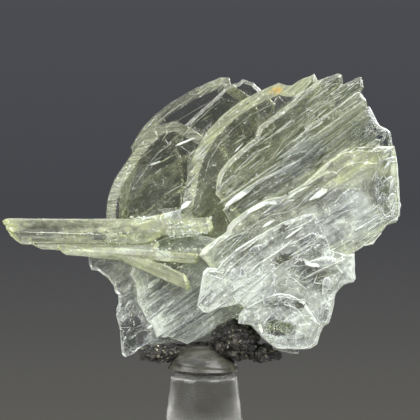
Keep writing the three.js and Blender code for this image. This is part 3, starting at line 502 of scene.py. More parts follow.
# Zones that are clouded or clear, as ellipses in the front view: centre, half length and half height,
# angle from level, and what each adds to the milk and to the yellow-green tone. First the fan's zones,
# then the laths'.
ZONES = [
    ((13.6, 29.2), (2.8, 1.7), 0, -0.5, -0.2), ((12.8, 33.8), (2, 0.9), 20, -0.25, 0),
    ((17.2, 33.4), (1, 0.8), 0, -0.3, 0), ((14.2, 41.8), (1.4, 0.9), 20, -0.3, 0),
    ((19.2, 38.2), (2.6, 1.9), -10, -0.22, 0), ((5.6, 33), (1.2, 0.8), 0, -0.3, 0),
    ((27.8, 63.8), (2.4, 1.7), 30, -0.25, -0.4), ((17.5, 59.5), (4.4, 2.6), 35, -0.08, -0.5),
    ((31.2, 53), (1.7, 2.6), -20, -0.14, 0), ((-13, 27), (2.6, 3.6), 0, -0.2, -0.1),
    ((12.6, 46.4), (2.4, 1.6), 30, -0.12, 0.1), ((27, 52), (3, 2), -30, 0.26, -0.4),
    ((18.5, 29.5), (2.4, 2.6), 0, 0.12, 0), ((25.6, 40), (1.8, 2.6), 0, 0.3, 0),
    ((22, 41), (2.2, 1), 0, 0.25, 0), ((9, 32), (2.6, 1.2), 20, 0.25, 0),
    ((7.5, 34.5), (2.4, 2), 40, 0.2, 0), ((-14.5, 37.5), (3.2, 2.4), -40, 0.2, 0.2),
    ((-11, 35), (1.9, 3), 0, 0.25, 0.1), ((-7, 29), (3, 2), 30, 0.1, 0),
    ((33, 57.5), (1.4, 3.2), 0, 0.2, 0), ((34, 50), (0.9, 2.6), 0, 0.08, 0),
    ((24, 58), (7, 2.8), 25, 0.12, 0.35), ((31, 58.5), (2.4, 2.4), 0, 0.05, 0.3),
    ((30.5, 47), (2.6, 2), 30, 0.2, 0), ((25, 48.6), (6, 4), 20, 0.06, -0.4),
    ((-2.8, 52.4), (1.5, 2.6), -25, 0.08, -0.3), ((-0.8, 60), (1.3, 1), 0, 0.12, -0.4),
    ((21, 45.4), (4, 1.4), 15, 0.0, -0.3), ((-3.4, 57.6), (2.6, 2), 30, 0.1, 0),
    ((8, 56), (5, 2), 38, 0.07, 0.1), ((24.5, 66), (4.6, 2), 38, 0.1, 0.1),
    ((-10, 53), (7, 5), 0, 0.07, -0.3), ((1.5, 52), (3, 4), 0, 0.08, 0),
    ((5, 43), (4.5, 2.4), 40, -0.18, 0), ((21, 46), (5, 3), 10, -0.13, 0),
    ((14, 37), (6, 2.6), 10, 0.23, 0), ((-4, 68), (5, 3), 40, -0.14, 0),
    ((-3.8, 53.5), (1.6, 5), -10, -0.2, 0), ((21, 27), (1.6, 1.4), 0, 0.15, 0),
    ((0, 31), (6, 4), 20, 0.08, 0), ((4, 39), (5, 5), 40, 0.1, 0), ((13, 62), (3, 2), 35, 0.08, 0.1),
]
LATH_ZONES = [
    ((-2.6, 46.8), (3.8, 1.5), 0, 0.25, -0.3), ((-7.4, 42.4), (1.9, 1.3), -30, 0.35, -0.5),
    ((-10.8, 48.5), (2.6, 0.7), 15, 0.3, -0.3), ((-35, 47), (1.5, 2), 0, 0.12, 0.2),
    ((-20, 42.6), (9, 0.7), 3, 0.2, -0.4), ((-26, 47.4), (6, 1), 0, -0.1, 0),
    ((-15.5, 45.4), (4, 1.6), 0, -0.2, 0.1), ((-30, 46), (4, 1.4), 0, -0.14, 0.1),
    ((-12.5, 43.6), (3, 1.6), 0, 0.1, -0.3),
]
# Dark grains caught in the crystals: place in the front view and size.
SPECKS = [
    (14.9, 53.2, 0.35), (14.2, 47.6, 0.4), (14.8, 47.5, 0.35), (13.6, 46.9, 0.4), (14.3, 46.6, 0.45),
    (14.9, 46.9, 0.3), (13.5, 46.4, 0.25), (12.3, 44.6, 0.4), (11.9, 44.4, 0.3), (-3.7, 30.4, 0.3),
    (-3.9, 29.9, 0.2), (7.9, 69.2, 0.3), (17.8, 27.6, 0.25), (5.3, 35.7, 0.25),
]
# Where the laths are sugary with small crystals: centre, reach, depth and how many.
SUGAR = [
    ((-2.6, 47.6), (3.6, 0.5), -2.65, 50), ((-2.8, 46), (3.4, 0.6), -2.7, 50),
    ((-7.4, 42.4), (1.5, 0.9), -2.2, 40), ((-10.8, 48.5), (2.4, 0.4), -0.9, 40),
    ((-6.3, 47), (0.35, 1.3), -2.7, 30), ((-22, 46), (9, 0.2), -2.8, 24),
    ((-33.7, 46.9), (0.8, 0.5), -2.0, 12), ((-2.4, 43.2), (2, 0.2), -2.1, 12),
    ((-12, 44.7), (6, 0.6), -2.4, 20), ((-5.6, 40.2), (2.6, 0.4), -1.7, 12),
]

# Thin overlapping flakes that roughen the sheets, in patches: how many, centre and reach of the patch, the
# flake's length and width from and to, its angle from level and how far that strays, and how cloudy,
# bright-edged, yellow-green and cracked it is.
FLAKES = [
    dict(count=14, at=(14, 35.5), reach=(9.5, 9), length=(2.5, 7), width=(1.5, 4), angle=35, spread=40,
         milk=0.3, edge=0.75, tone=0.03, crazed=0.8),
    dict(count=18, at=(17, 46), reach=(14, 7), length=(3, 9), width=(0.6, 1.8), angle=32, spread=8,
         milk=0.3, edge=0.4, tone=0.3, crazed=0.2),
    dict(count=14, at=(26, 54), reach=(9, 7), length=(3, 8), width=(0.8, 2.4), angle=30, spread=12,
         milk=0.3, edge=0.4, tone=0.4, crazed=0.15),
    dict(count=30, at=(21, 65), reach=(9, 7), length=(3, 9), width=(0.5, 1.4), angle=37, spread=6,
         milk=0.14, edge=0.3, tone=0.65, crazed=0.25),
    dict(count=20, at=(10, 57), reach=(9, 7), length=(3, 9), width=(0.5, 1.3), angle=37, spread=6,
         milk=0.1, edge=0.22, tone=0.6, crazed=0.1),
    dict(count=30, at=(-7, 32), reach=(9, 8), length=(1.5, 5), width=(0.4, 1.5), angle=38, spread=10,
         milk=0.18, edge=0.45, tone=0.08, crazed=0.4),
    dict(count=60, at=(33, 55), reach=(2.4, 9), length=(1.2, 3.4), width=(0.5, 1.3), angle=70, spread=60,
         milk=0.4, edge=0.8, tone=0.1, crazed=0.6),
    dict(count=26, at=(30.5, 65.5), reach=(3, 4), length=(1, 3), width=(0.4, 1.0), angle=50, spread=60,
         milk=0.3, edge=0.8, tone=0.05, crazed=0.5),
    dict(count=18, at=(4, 38), reach=(7, 7), length=(3, 8), width=(0.5, 1.6), angle=40, spread=8,
         milk=0.24, edge=0.45, tone=0.15, crazed=0.3),
]

# Fine raised threads on the sheets, in patches: how many, centre and reach of the patch, the thread's
# length and half width from and to, its angle from level and how far that strays, its bend in degrees per
# mm, and how cloudy and yellow-green it is.
THREADS = [
    dict(count=190, at=(15, 32.0), reach=(9, 7), length=(1, 4), width=(0.04, 0.13), angle=38, stray=75,
         bend=22, milk=0.9, tone=0.02),
    dict(count=30, at=(31.8, 53), reach=(3.5, 8), length=(2, 5), width=(0.08, 0.25), angle=60, stray=60,
         bend=20, milk=0.8, tone=0.1),
    dict(count=40, at=(18, 47), reach=(15, 7), length=(2, 8), width=(0.06, 0.2), angle=33, stray=7,
         bend=1.5, milk=0.6, tone=0.3),
    dict(count=60, at=(22, 65), reach=(9, 8), length=(2, 9), width=(0.06, 0.18), angle=37, stray=5,
         bend=1, milk=0.45, tone=0.5),
    dict(count=50, at=(9, 57), reach=(9, 9), length=(2, 8), width=(0.05, 0.15), angle=37, stray=6,
         bend=1, milk=0.35, tone=0.5),
    dict(count=70, at=(-8, 32), reach=(9, 8), length=(1, 5), width=(0.07, 0.24), angle=39, stray=9,
         bend=3, milk=0.8, tone=0.05),
    dict(count=45, at=(3, 38), reach=(7, 7), length=(2, 8), width=(0.06, 0.22), angle=42, stray=12,
         bend=4, milk=0.65, tone=0.15),
    dict(count=24, at=(-8, 60), reach=(9, 9), length=(1, 5), width=(0.05, 0.12), angle=38, stray=14,
         bend=2, milk=0.35, tone=0.5),
]

# The laths: start and end are on the centre line, rise and thick are the section's height and depth, and
# each end is cut slanting, by cut mm further in at the bottom than at the top.
LATHS = [
    dict(start=(-36.3, -0.9, 46.3), end=(-5, -0.7, 46.2), rise=4.6, thick=3.8, cut=(2.4, 4.6)),
    dict(start=(-14.5, -0.8, 46.4), end=(1.2, -1.5, 47.5), rise=2.8, thick=2.8, cut=(1, -0.6)),
    dict(start=(-13.6, 0.4, 47.2), end=(-7.2, 0.2, 48.6), rise=1.7, thick=1.9, cut=(0.6, 0.6)),
    dict(start=(-32.4, -0.6, 44.4), end=(-8, -0.4, 43.2), rise=2.4, thick=2.8, cut=(2.6, 1)),
    dict(start=(-26.8, -1, 43.2), end=(-0.8, -1.2, 41.4), rise=2.1, thick=2.4, cut=(1.6, 0.4)),
    dict(start=(-22.6, -0.4, 43.2), end=(-8.6, -0.3, 41.9), rise=3, thick=2.6, cut=(1.8, 1)),
    dict(start=(-15.6, -0.9, 42.6), end=(-3, -1.7, 37.1), rise=2.8, thick=2.4, cut=(1, -0.8)),
]
# Corners of a lath's section as (towards the viewer, up), from the ridge on the front face down.
LATH_SECTION = [
    (1, 0), (0.85, -0.8), (0.2, -1), (-0.6, -0.9), (-1, -0.1), (-0.8, 0.75), (0, 1), (0.75, 0.9),
]

# The crust's lumps: centre and half sizes, how rough each is and how finely it is divided.
LUMPS = [
    dict(centre=(5.6, -0.6, 26.6), half=(4.2, 4.4, 3.6), rough=0.24, detail=5),
    dict(centre=(10.6, 0.4, 24.1), half=(3.4, 3.6, 1.6), rough=0.2, detail=4),
    dict(centre=(-8, 0.4, 24), half=(4.1, 3.6, 1.4), rough=0.22, detail=4),
    dict(centre=(-1, 2.2, 24.4), half=(6.5, 3, 1.3), rough=0.1, detail=4),
]


# Shapes.


def signed_area(points):
    """The outline's area, positive when it runs anticlockwise in the front view."""
    return sum(a[0] * b[1] - b[0] * a[1] for a, b in zip(points, points[1:] + points[:1])) / 2


def inset(points, distance):
    """The outline moved inwards. Where a short edge or a notch would fold over, its corners move less."""
    n = len(points)
    inward = []
    for i, p in enumerate(points):
        q = points[(i + 1) % n]
        length = math.dist(p, q)
        inward.append((-(q[1] - p[1]) / length, (q[0] - p[0]) / length))
    miter = []
    for i in range(n):
        a, b = inward[i - 1], inward[i]
        scale = 1 / max(0.5, 1 + a[0] * b[0] + a[1] * b[1])
        miter.append(((a[0] + b[0]) * scale, (a[1] + b[1]) * scale))
    reach = [distance] * n
    for _ in range(40):
        now = [(p[0] + m[0] * r, p[1] + m[1] * r) for p, m, r in zip(points, miter, reach)]
        folded = False
        for i in range(n):
            j = (i + 1) % n
            along = (points[j][0] - points[i][0], points[j][1] - points[i][1])
            after = (now[j][0] - now[i][0], now[j][1] - now[i][1])
            if along[0] * after[0] + along[1] * after[1] < 0.15 * (along[0] ** 2 + along[1] ** 2):
                reach[i] *= 0.75
                reach[j] *= 0.75
                folded = True
        if not folded:
            break
    return now


def worn(outline, step, wear, rng):
    """The outline with points about every step, each but the corners moved sideways by up to wear."""
    made = []
    for p, q in zip(outline, outline[1:] + outline[:1]):
        length = math.dist(p, q)
        count = max(1, round(length / step))
        nx, nz = -(q[1] - p[1]) / length, (q[0] - p[0]) / length
        for i in range(count):
            t = i / count
            off = rng.uniform(-wear, wear) if i else 0
            made.append((p[0] + (q[0] - p[0]) * t + nx * off, p[1] + (q[1] - p[1]) * t + nz * off))
    return made


def look_layers(bm):
    """The bmesh's face layers for LOOKS, made if they aren't there."""
    floats = bm.faces.layers.float
    return [floats.get(name) or floats.new(name) for name in LOOKS]


def paint(face, layers, values):
    """Gives a face its values for LOOKS."""
    for layer, value in zip(layers, values):
        face[layer] = value


def add_face(bm, corners, layers, values):
    """Makes a face with its values for LOOKS."""
    paint(bm.faces.new(corners), layers, values)


def join_rings(bm, low, high, layers, values):
    """A band of faces between two rings of as many vertices."""
    for a, b, c, d in zip(low, low[1:] + low[:1], high[1:] + high[:1], high):
        add_face(bm, (a, b, c, d), layers, values)


def grow_tablet(spec, index, rng, ridge, wear, terraces=()):
    """A tabular crystal as a closed mesh in millimetres: bevels, growth terraces and fine ridges that run
    along its grain on both faces. ridge is their height and wear how ragged its rim is. Each terrace is
    how far in it starts and how high it stands. index keeps its pattern apart from those of others."""
    bm = bmesh.new()
    layers = look_layers(bm)
    outline = list(spec["outline"])
    if signed_area(outline) < 0:
        outline.reverse()
    rim = worn(outline, 1.1, wear, rng)
    half = spec["thickness"] / 2
    milk, edge, tone, crazed = (spec[k] for k in ("milk", "edge", "tone", "crazed"))
    band = spec.get("band", 0.2 * edge)

    def ring(points, y):
        return [bm.verts.new((x, y, z)) for x, z in points]

    middle = ring(rim, 0)
    lip = inset(rim, 0.13)
    face_points = inset(rim, spec["bevel"])
    for side in (-1, 1):
        level = half
        steps = [(ring(lip, side * half * 0.62), edge), (ring(face_points, side * half), band)]
        for reach, rise in terraces:
            points = inset(rim, spec["bevel"] + reach)
            steps.append((ring(points, side * level), 0.0))
            level += rise
            steps.append((ring(inset(points, 0.14), side * level), 0.25 * edge))
        last = middle
        for points, value in steps:
            pair = (last, points) if side < 0 else (points, last)
            join_rings(bm, *pair, layers, (milk, value, tone, crazed))
            last = points
        add_face(bm, last if side < 0 else last[::-1], layers, (milk, 0.0, tone, crazed))
    bmesh.ops.triangulate(bm, faces=[f for f in bm.faces if len(f.verts) > 4])

    grain = math.radians(spec["grain"])
    along = Vector((math.cos(grain), 0, math.sin(grain)))
    across = Vector((-math.sin(grain), 0, math.cos(grain)))
    reach = [v.co.dot(across) for v in bm.verts]
    lines, at = [], min(reach)
    while ridge and at < max(reach):
        at += rng.choice((0.45, 0.7, 1.0, 1.5, 2.2))
        lines.append(at)
    for at in lines:
        geometry = bm.verts[:] + bm.edges[:] + bm.faces[:]
        bmesh.ops.bisect_plane(bm, geom=geometry, dist=1e-4, plane_co=across * at, plane_no=across)
    front = [rng.uniform(-ridge, ridge) for _ in lines] + [0, 0]
    rear = [rng.uniform(-ridge, ridge) for _ in lines] + [0, 0]

    def ridge_at(heights, v):
        i = 0
        while i < len(lines) and lines[i] <= v:
            i += 1
        low = lines[i - 1] if i else v - 1
        high = lines[i] if i < len(lines) else v + 1
        a = heights[i - 1] if i else 0
        b = heights[i] if i < len(lines) else 0
        return a + (b - a) * (v - low) / (high - low)

    growth = bm.verts.layers.float_vector.new("growth")
    for v in bm.verts:
        u, w = v.co.dot(along), v.co.dot(across)
        share = min(1.0, abs(v.co.y) / half)
        heights = front if v.co.y < 0 else rear
        swell = 0.6 + 0.8 * noise.noise(Vector((u / 7, w / 3, index * 3.7)))
        v[growth] = (u, w, v.co.y + index * 17.0)
        v.co.y += ridge_at(heights, w) * share * swell
        v.co.y += spec["depth"] + lift(v.co.x, v.co.z, spec["lean"], spec["turn"])
    return bm


def lift(x, z, lean, turn=0):
    """How far a sheet's slopes, in degrees, carry it back at a place in the front view."""
    back = (z - FAN_CENTRE[1]) * math.tan(math.radians(lean))
    return back + (x - FAN_CENTRE[0]) * math.tan(math.radians(turn))


def wedge_spec(start, end, y, lean, width, height, **look):
    """A long flat wedge as a small tablet: start and end are on its centre line in the front view."""
    ax, az = end[0] - start[0], end[1] - start[1]
    length = math.hypot(ax, az)
    ax, az = ax / length, az / length
    sx, sz = -az * width / 2, ax * width / 2
    run = min(width * 2.4, length * 0.6)
    shoulder = (start[0] + ax * run, start[1] + az * run)
    outline = [
        start, (shoulder[0] - sx, shoulder[1] - sz), (end[0] - sx, end[1] - sz),
        (end[0] + ax * width * 0.4, end[1] + az * width * 0.4), (end[0] + sx, end[1] + sz),
        (shoulder[0] + sx, shoulder[1] + sz),
    ]
    depth = y - lift(start[0], (start[1] + end[1]) / 2, lean)
    return dict(outline=outline, depth=depth, thickness=height, bevel=width * 0.3, lean=lean, turn=0,
                grain=math.degrees(math.atan2(az, ax)), **look)


def mix(a, b, t):
    """The value a share t of the way from a to b."""
    return a + (b - a) * t


def rib_specs(rng):
    """The ribs of RIB_GROUPS as narrow wedges, two for each one counted, set a little unevenly."""
    for group in RIB_GROUPS:
        count = group["count"] * 2
        for i in range(count):
            t = min(1.0, max(0.0, i / (count - 1) + rng.uniform(-0.06, 0.06)))
            slip = rng.uniform(-2.5, 1)
            start, end = (
                tuple(mix(a, b, t) for a, b in zip(first, last))
                for first, last in zip(group["first"], group["last"])
            )
            start = (start[0] + slip, start[1] + slip * 0.6)
            yield wedge_spec(start, end, mix(*group["y"], t), group["lean"],
                             group["width"] * rng.uniform(0.35, 0.8), 0.8 + 0.4 * rng.random(),
                             milk=group["milk"], edge=0.2, tone=group["tone"], crazed=0.2)


def inside(outline, x, z):
    """Whether a place in the front view lies within the outline."""
    hit = False
    for (ax, az), (bx, bz) in zip(outline, outline[1:] + outline[:1]):
        if (az > z) != (bz > z) and x < ax + (z - az) / (bz - az) * (bx - ax):
            hit = not hit
    return hit


def sheet_at(x, z, side):
    """The outermost sheet at a place in the front view, on the front for side -1 and the back for 1."""
    best = None
    for spec in PLATES:
        if inside(spec["outline"], x, z):
            y = spec["depth"] + lift(x, z, spec["lean"], spec["turn"]) + side * spec["thickness"] / 2
            if best is None or side * (y - best[0]) > 0:
                best = (y, spec)
    return best


def somewhere_in(patch, rng):
    """A random place in a patch's ellipse, in the front view."""
    turn, out = rng.uniform(0, math.tau), math.sqrt(rng.random())
    return (patch["at"][0] + patch["reach"][0] * out * math.cos(turn),
            patch["at"][1] + patch["reach"][1] * out * math.sin(turn))


def flake_specs(rng):
    """The flakes of FLAKES as small tablets, a third of them on the back. One that would bridge a step
    between two sheets is left out."""
    for patch in FLAKES:
        for k in range(patch["count"]):
            side = -1 if k % 3 else 1
            x, z = somewhere_in(patch, rng)
            length, width = rng.uniform(*patch["length"]), rng.uniform(*patch["width"])
            angle = math.radians(patch["angle"] + rng.uniform(-1, 1) * patch["spread"])
            ax, az = math.cos(angle), math.sin(angle)
            ends = [(x + s * ax * length / 2, z + s * az * length / 2) for s in (-1, 1)]
            found = [sheet_at(*p, side) for p in (*ends, (x, z))]
            if not all(found) or max(f[0] for f in found) - min(f[0] for f in found) > 1.2:
                continue
            outline = []
            for i in range(10):
                t = math.tau * (i + rng.uniform(-0.25, 0.25)) / 10
                u = math.cos(t) * length / 2
                v = math.sin(t) * width / 2 * (0.75 + 0.35 * math.cos(t)) * rng.uniform(0.8, 1.15)
                outline.append((x + u * ax - v * az, z + u * az + v * ax))
            y, under = found[2]
            lean = under["lean"] + rng.uniform(-3, 3)
            tilt = under["turn"] + rng.uniform(-3, 3)
            yield dict(
                outline=outline, depth=y - lift(x, z, lean, tilt) + side * 0.02,
                thickness=rng.uniform(0.25, 0.5), bevel=min(0.35, width * 0.25), lean=lean, turn=tilt,
                grain=math.degrees(angle), **{k: patch[k] for k in ("milk", "edge", "tone", "crazed")},
            )


def grow_thread(bm, path, side, width, milk, tone):
    """A thin raised ridge along a path on the front or back of the fan, three-sided and tapered, in bm."""
    layers = look_layers(bm)
    growth = bm.verts.layers.float_vector["growth"]
    rings = []
    for k, (x, y, z) in enumerate(path):
        before, after = path[max(0, k - 1)], path[min(len(path) - 1, k + 1)]
        heading = math.atan2(after[2] - before[2], after[0] - before[0])
        swell = width * (0.12 + 0.88 * math.sqrt(max(0.0, math.sin(math.pi * k / (len(path) - 1)))))
        swell *= 1 + 0.7 * noise.noise(Vector((x * 1.3, z * 1.3, 5)))
        sx, sz = -math.sin(heading) * swell, math.cos(heading) * swell
        ring = [
            bm.verts.new((x + sx, y - side * 0.06, z + sz)), bm.verts.new((x, y + side * swell * 0.9, z)),
            bm.verts.new((x - sx, y - side * 0.06, z - sz)),
        ]
        for v in ring:
            v[growth] = (v.co.x, v.co.z, v.co.y + 700)
        rings.append(ring if side < 0 else ring[::-1])
    values = (milk, 0.3, tone, 0.0)
    for low, high in zip(rings, rings[1:]):
        for i in range(3):
            j = (i + 1) % 3
            add_face(bm, (low[i], high[i], high[j], low[j]), layers, values)
    add_face(bm, rings[0], layers, values)
    add_face(bm, rings[-1][::-1], layers, values)


def thread_paths(rng):
    """Winding paths over the fan's front and back, with each patch's look."""
    for patch in THREADS:
        for k in range(patch["count"]):
            side = -1 if k % 4 else 1
            x, z = somewhere_in(patch, rng)
            heading = math.radians(patch["angle"] + rng.uniform(-1, 1) * patch["stray"])
            bend = math.radians(rng.uniform(-1, 1) * patch["bend"])
            step = 0.6
            count = max(3, round(rng.uniform(*patch["length"]) / step))
            path = []
            for _ in range(count):
                found = sheet_at(x, z, side)
                if not found or (path and abs(found[0] - path[-1][1]) > 0.35):
                    break
                path.append((x, found[0], z))
                heading += bend * step + math.radians(rng.uniform(-4, 4))
                x, z = x + math.cos(heading) * step, z + math.sin(heading) * step
            if len(path) > 2:
                width = rng.uniform(*patch["width"])
                yield path, side, width, patch["milk"] * rng.uniform(0.6, 1), patch["tone"]


def edge_paths():
    """The paths of EDGES and LATH_EDGES in short, slightly wavy steps. Those of EDGES lie on the fan's
    front and are cut where the sheets step by over 1.5 mm."""
    for width, milk, tone, depth, points in [(*e[:3], None, e[3]) for e in EDGES] + LATH_EDGES:
        path = []
        for start, end in zip(points, points[1:] + points[-1:]):
            steps = max(1, round(math.dist(start, end) / 0.35))
            for i in range(steps):
                x, z = mix(start[0], end[0], i / steps), mix(start[1], end[1], i / steps)
                stray = noise.noise(Vector((x * 0.9, z * 0.9, 3))) * (0.25 if depth is None else 0.08)
                x, z = x + stray, z + stray
                found = sheet_at(x, z, -1) if depth is None else (depth, None)
                if path and (not found or abs(found[0] - path[-1][1]) > 1.5):
                    if len(path) > 2:
                        yield path, -1, width, milk, tone
                    path = []
                if found:
                    path.append((x, found[0], z))
        if len(path) > 2:
            yield path, -1, width, milk, tone


def grow_lath(spec, index, rng):
    """A lath as a closed mesh in millimetres: eight flats, each striated along its length, and two worn
    ends."""
    bm = bmesh.new()
    layers = look_layers(bm)
    growth = bm.verts.layers.float_vector.new("growth")
    a, b = Vector(spec["start"]), Vector(spec["end"])
    along = (b - a).normalized()
    up = Vector((0, 0, 1))
    front = along.cross(up).normalized()
    h, t, length = spec["rise"] / 2, spec["thick"] / 2, (b - a).length
    section = []
    for p, q in zip(LATH_SECTION, LATH_SECTION[1:] + LATH_SECTION[:1]):
        for k in (0, 0.3, 0.62):
            shrink = 1 if k == 0 else 1 - rng.uniform(0.0, 0.035)
            section.append((mix(p[0], q[0], k) * shrink, mix(p[1], q[1], k) * shrink))
    # Each station is its place along the lath, how far the end's cut slants it, its size and its rise.
    first_cut, last_cut = spec["cut"]
    inner_start, inner_end = h * 0.45, length - h * 0.6
    count = max(4, round(length / 2.2))
    inner = [
        (mix(inner_start, inner_end, k / count), mix(first_cut, -last_cut, k / count), 1, 0)
        for k in range(1, count)
    ]
    stations = [
        (0, first_cut * 0.7, 0.62, h * 0.22), (h * 0.2, first_cut * 0.85, 0.86, h * 0.1),
        (inner_start, first_cut, 1, 0), *inner, (inner_end, -last_cut, 1, 0),
        (length - h * 0.25, -last_cut * 0.85, 0.86, h * 0.05), (length, -last_cut * 0.7, 0.56, h * 0.1),
    ]
    rings = []
    for k, (distance, slant, shrink, shift) in enumerate(stations):
        ring = []
        at_end = k < 3 or k > len(stations) - 4
        swell = 1 if at_end else 1 + rng.uniform(-0.02, 0.02)
        for f, u in section:
            chip = rng.uniform(-0.1, 0.02) * h if at_end else 0
            size = shrink * swell
            co = a + along * (distance + slant * (1 - u) / 2 + abs(chip))
            co += front * (f * t * size) + up * (u * h * size + shift)
            v = bm.verts.new(co)
            v[growth] = ((co - a).dot(along), u * h + f, index * 17.0 + f * t + 900)
            ring.append(v)
        rings.append(ring)
    for k, (low, high) in enumerate(zip(rings, rings[1:])):
        end_part = k < 2 or k > len(rings) - 4
        join_rings(bm, low, high, layers, (0.32, 0.3 if end_part else 0.0, 1.0, 0.0))
    add_face(bm, rings[0][::-1], layers, (0.36, 0.4, 1.0, 0.0))
    add_face(bm, rings[-1], layers, (0.36, 0.4, 1.0, 0.0))
    bmesh.ops.recalc_face_normals(bm, faces=bm.faces)
    bmesh.ops.triangulate(bm, faces=bm.faces[:])
    return bm


def crumb(bm, centre, size, rng, kind="cube"):
    """A small cube or faceted grain, turned at random, added to bm. Returns its faces."""
    turn = Matrix.Rotation(rng.uniform(0, math.tau), 4, Vector([rng.uniform(-1, 1) for _ in range(3)]))
    stretch = Matrix.Diagonal([size * rng.uniform(0.7, 1.2) for _ in range(3)] + [1])
    place = Matrix.Translation(centre) @ turn @ (Matrix.Scale(size, 4) if kind == "cube" else stretch)
    if kind == "cube":
        made = bmesh.ops.create_cube(bm, size=1, matrix=place)
    else:
        made = bmesh.ops.create_icosphere(bm, subdivisions=1, radius=0.55, matrix=place)
    return list({face for v in made["verts"] for face in v.link_faces})


def to_mesh(name, bm):
    """The bmesh as a mesh. The bmesh is freed."""
    mesh = bpy.data.meshes.new(name)
    bm.to_mesh(mesh)
    bm.free()
    return mesh


def as_object(name, bm, materials, smooth=False):
    """The bmesh, in millimetres, as an object in metres that rides on the frame's only body."""
    bmesh.ops.scale(bm, vec=(MM, MM, MM), verts=bm.verts)
    mesh = to_mesh(name, bm)
    for material in materials:
        mesh.materials.append(material)
    if smooth:
        mesh.shade_smooth()
    piece = bpy.data.objects.new(name, mesh)
    bpy.context.scene.collection.objects.link(piece)
    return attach(piece, "root")


def pour(bm, into, material=0):
    """Adds the crystal bm to the bmesh into, and frees bm."""
    mesh = to_mesh("one_crystal", bm)
    before = len(into.faces)
    into.from_mesh(mesh)
    into.faces.ensure_lookup_table()
    for face in into.faces[before:]:
        face.material_index = material
    bpy.data.meshes.remove(mesh)


def grown_together(crystals):
    """The closed meshes in the list joined to one solid, as one bmesh. The values on their faces and
    vertices stay."""
    made = [bpy.data.objects.new("one_crystal", to_mesh("one_crystal", bm)) for bm in crystals]
    for each in made:
        bpy.context.scene.collection.objects.link(each)
    whole = made[0]
    for other in made[1:]:
        join = whole.modifiers.new("Join", "BOOLEAN")
        join.operation, join.solver, join.object = "UNION", "MANIFOLD", other
        depsgraph = bpy.context.evaluated_depsgraph_get()
        joined = bpy.data.meshes.new_from_object(whole.evaluated_get(depsgraph))
        whole.modifiers.clear()
        whole.data = joined
    bm = bmesh.new()
    bm.from_mesh(whole.data)
    for each in made:
        bpy.data.objects.remove(each)
    return bm


# Finishes.


def linear(code):
    """An sRGB hex colour as linear red, green, blue and alpha."""
    parts = [int(code[i:i + 2], 16) / 255 for i in (1, 3, 5)]
    return [c / 12.92 if c <= 0.04045 else ((c + 0.055) / 1.055) ** 2.4 for c in parts] + [1.0]


def add(tree, kind, inputs=None, out=0, **settings):
    """Adds a shader node with its settings and returns its output out, by name or number. inputs maps an
    input's name or number to a value or to the output that feeds it."""
    node = tree.nodes.new("ShaderNode" + kind)
    for name, value in settings.items():
        setattr(node, name, value)
    for key, value in (inputs or {}).items():
        if isinstance(value, bpy.types.NodeSocket):
            tree.links.new(value, node.inputs[key])
        else:
            node.inputs[key].default_value = value
    return node.outputs[out] if len(node.outputs) else node


def new_material(name):
    """An empty node material and its tree."""
    material = bpy.data.materials.new(name)
    material.use_nodes = True
    material.node_tree.nodes.clear()
    return material, material.node_tree


